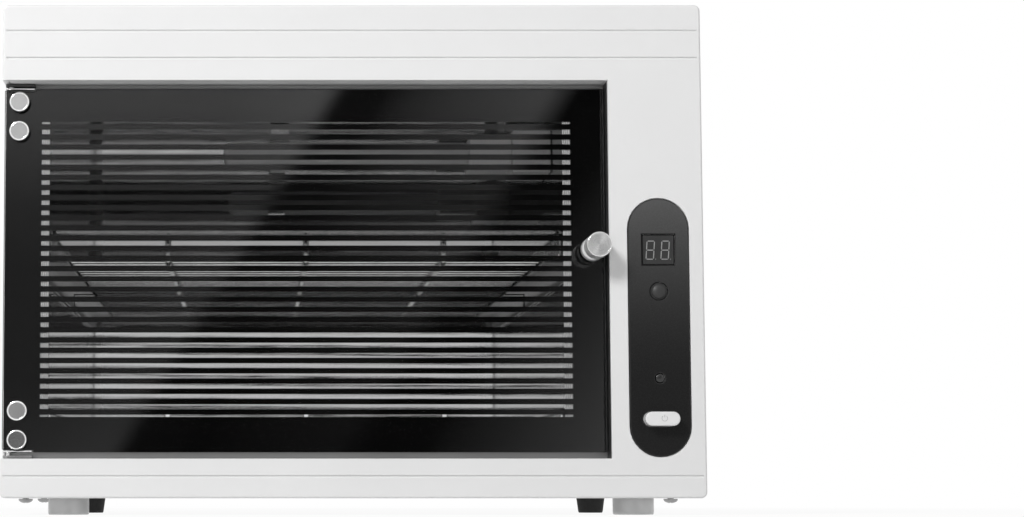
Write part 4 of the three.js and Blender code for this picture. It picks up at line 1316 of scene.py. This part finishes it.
def make_world():
    """White to the eye and in reflections, with dark flags in front, and a softer light on surfaces."""
    world = bpy.data.worlds.new("studio")
    world.use_nodes = True
    bpy.context.scene.world = world
    tree = world.node_tree
    tree.nodes.clear()
    rays = add_node(tree, "LightPath").outputs
    direction = add_node(tree, "TexCoord").outputs["Generated"]
    parts = add_node(tree, "SeparateXYZ", None, {0: direction}).outputs
    ahead = math_node(tree, "MAXIMUM", math_node(tree, "ABSOLUTE", parts[1]), 0.001)
    right = math_node(tree, "DIVIDE", parts[0], ahead)
    up = math_node(tree, "DIVIDE", parts[2], ahead)
    across = math_node(tree, "SUBTRACT", right, math_node(tree, "MULTIPLY", up, FLAG_LEAN))
    sideways = ramp_of(tree, across, ACROSS_STOPS, -FLAG_REACH, FLAG_REACH)
    upward = ramp_of(tree, up, UPWARD_STOPS, 0, UPWARD_REACH)
    inputs = {0: sideways, 1: upward}
    flags = add_node(tree, "VectorMath", {"operation": "DOT_PRODUCT"}, inputs).outputs["Value"]
    low_enough = math_node(tree, "LESS_THAN", up, UPWARD_REACH)
    near_middle = math_node(tree, "LESS_THAN", math_node(tree, "ABSOLUTE", right), FLAG_REACH)
    in_front = math_node(tree, "LESS_THAN", parts[1], 0.0)
    flagged = math_node(tree, "MULTIPLY", in_front, math_node(tree, "MULTIPLY", low_enough, near_middle))
    glossy = blend_colours(tree, flagged, tone(1.0), flags)
    white = blend_colours(tree, rays["Is Glossy Ray"], tone(1.0), glossy)
    seen = math_node(tree, "MAXIMUM", rays["Is Camera Ray"], rays["Is Glossy Ray"])
    seen = math_node(tree, "MAXIMUM", seen, rays["Is Transmission Ray"])
    colour = blend_colours(tree, seen, tone(AMBIENT), white)
    background = add_node(tree, "Background", None, {"Color": colour, "Strength": 1.0})
    add_node(tree, "OutputWorld", None, {0: background.outputs[0]})


def make_area_light(name, place, target, size, power):
    data = bpy.data.lights.new(name, "AREA")
    data.size = size
    data.energy = power
    light = add_object(name, data)
    light.location = place
    aim = Vector(target) - Vector(place)
    light.rotation_euler = aim.to_track_quat("-Z", "Y").to_euler()
    return light


# Dim strips of light behind the chamber's mouth, which its back mirrors. The low ones are parted by
# thin gaps, as the door's stripes part what the mirror shows.
LOW_STRIPS = 16
LOW_STRIP_BOTTOM = 4 * MM
LOW_STRIP_PITCH = 5 * MM
LOW_STRIP_HEIGHT = 3.4 * MM
LOW_STRIP_POWER = 0.0039
# Name, height above the liner's underside, height of the strip and power
HIGH_STRIPS = (
    ("chamber_high_strip", 137 * MM, 6.5 * MM, 0.0049),
    ("chamber_top_strip", 147 * MM, 1.5 * MM, 0.0012),
)
STRIP_LEAN = math.radians(-0.5)


def make_strip_lights():
    """The strips, which face the chamber's back."""
    side_inset = 1.5 * MM
    mouth_inset = 4 * MM
    low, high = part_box("chamber_liner")
    x = (low.x + high.x) / 2
    width = high.x - low.x - 2 * side_inset
    strips = list(HIGH_STRIPS)
    for index in range(LOW_STRIPS):
        bottom = LOW_STRIP_BOTTOM + index * LOW_STRIP_PITCH
        strips.append((f"chamber_low_strip_{index + 1}", bottom, LOW_STRIP_HEIGHT, LOW_STRIP_POWER))
    for name, bottom, height, power in strips:
        z = low.z + bottom + height / 2
        strip = make_area_light(name, (x, low.y + mouth_inset, z), (x, high.y, z), width, power)
        strip.data.shape = "RECTANGLE"
        strip.data.size_y = height
        strip.rotation_euler.rotate_axis("Z", STRIP_LEAN)


make_camera()
make_world()
make_area_light("key", place=(-1.0, -1.62, 1.25), target=(0, 0, 0.12), size=0.5, power=29)
make_strip_lights()
make_floor()
bpy.context.scene.view_settings.view_transform = "Standard"
dress_nodes()
make_fascia()
make_door_panel()
make_knob()
make_hinge_discs()
make_ink_corners()
make_panel()
make_pane()
make_digits()
make_set_button()
make_indicator()
make_power_cap()
make_power_symbol()
make_feet()
make_dome_screws("base_screw", ALONG_Z, head=2.2 * MM, shank=1.6 * MM)
make_dome_screws("rear_screw", (0, -1, 0), head=1.8 * MM, shank=1.4 * MM)
make_gland()
make_shelf("upper_shelf", "upper_rack")
make_shelf("lower_shelf", "lower_rack")
make_lamp_tubes()
make_electrodes()
make_door_highlight_strips()
make_frame()
soften_the_rest()
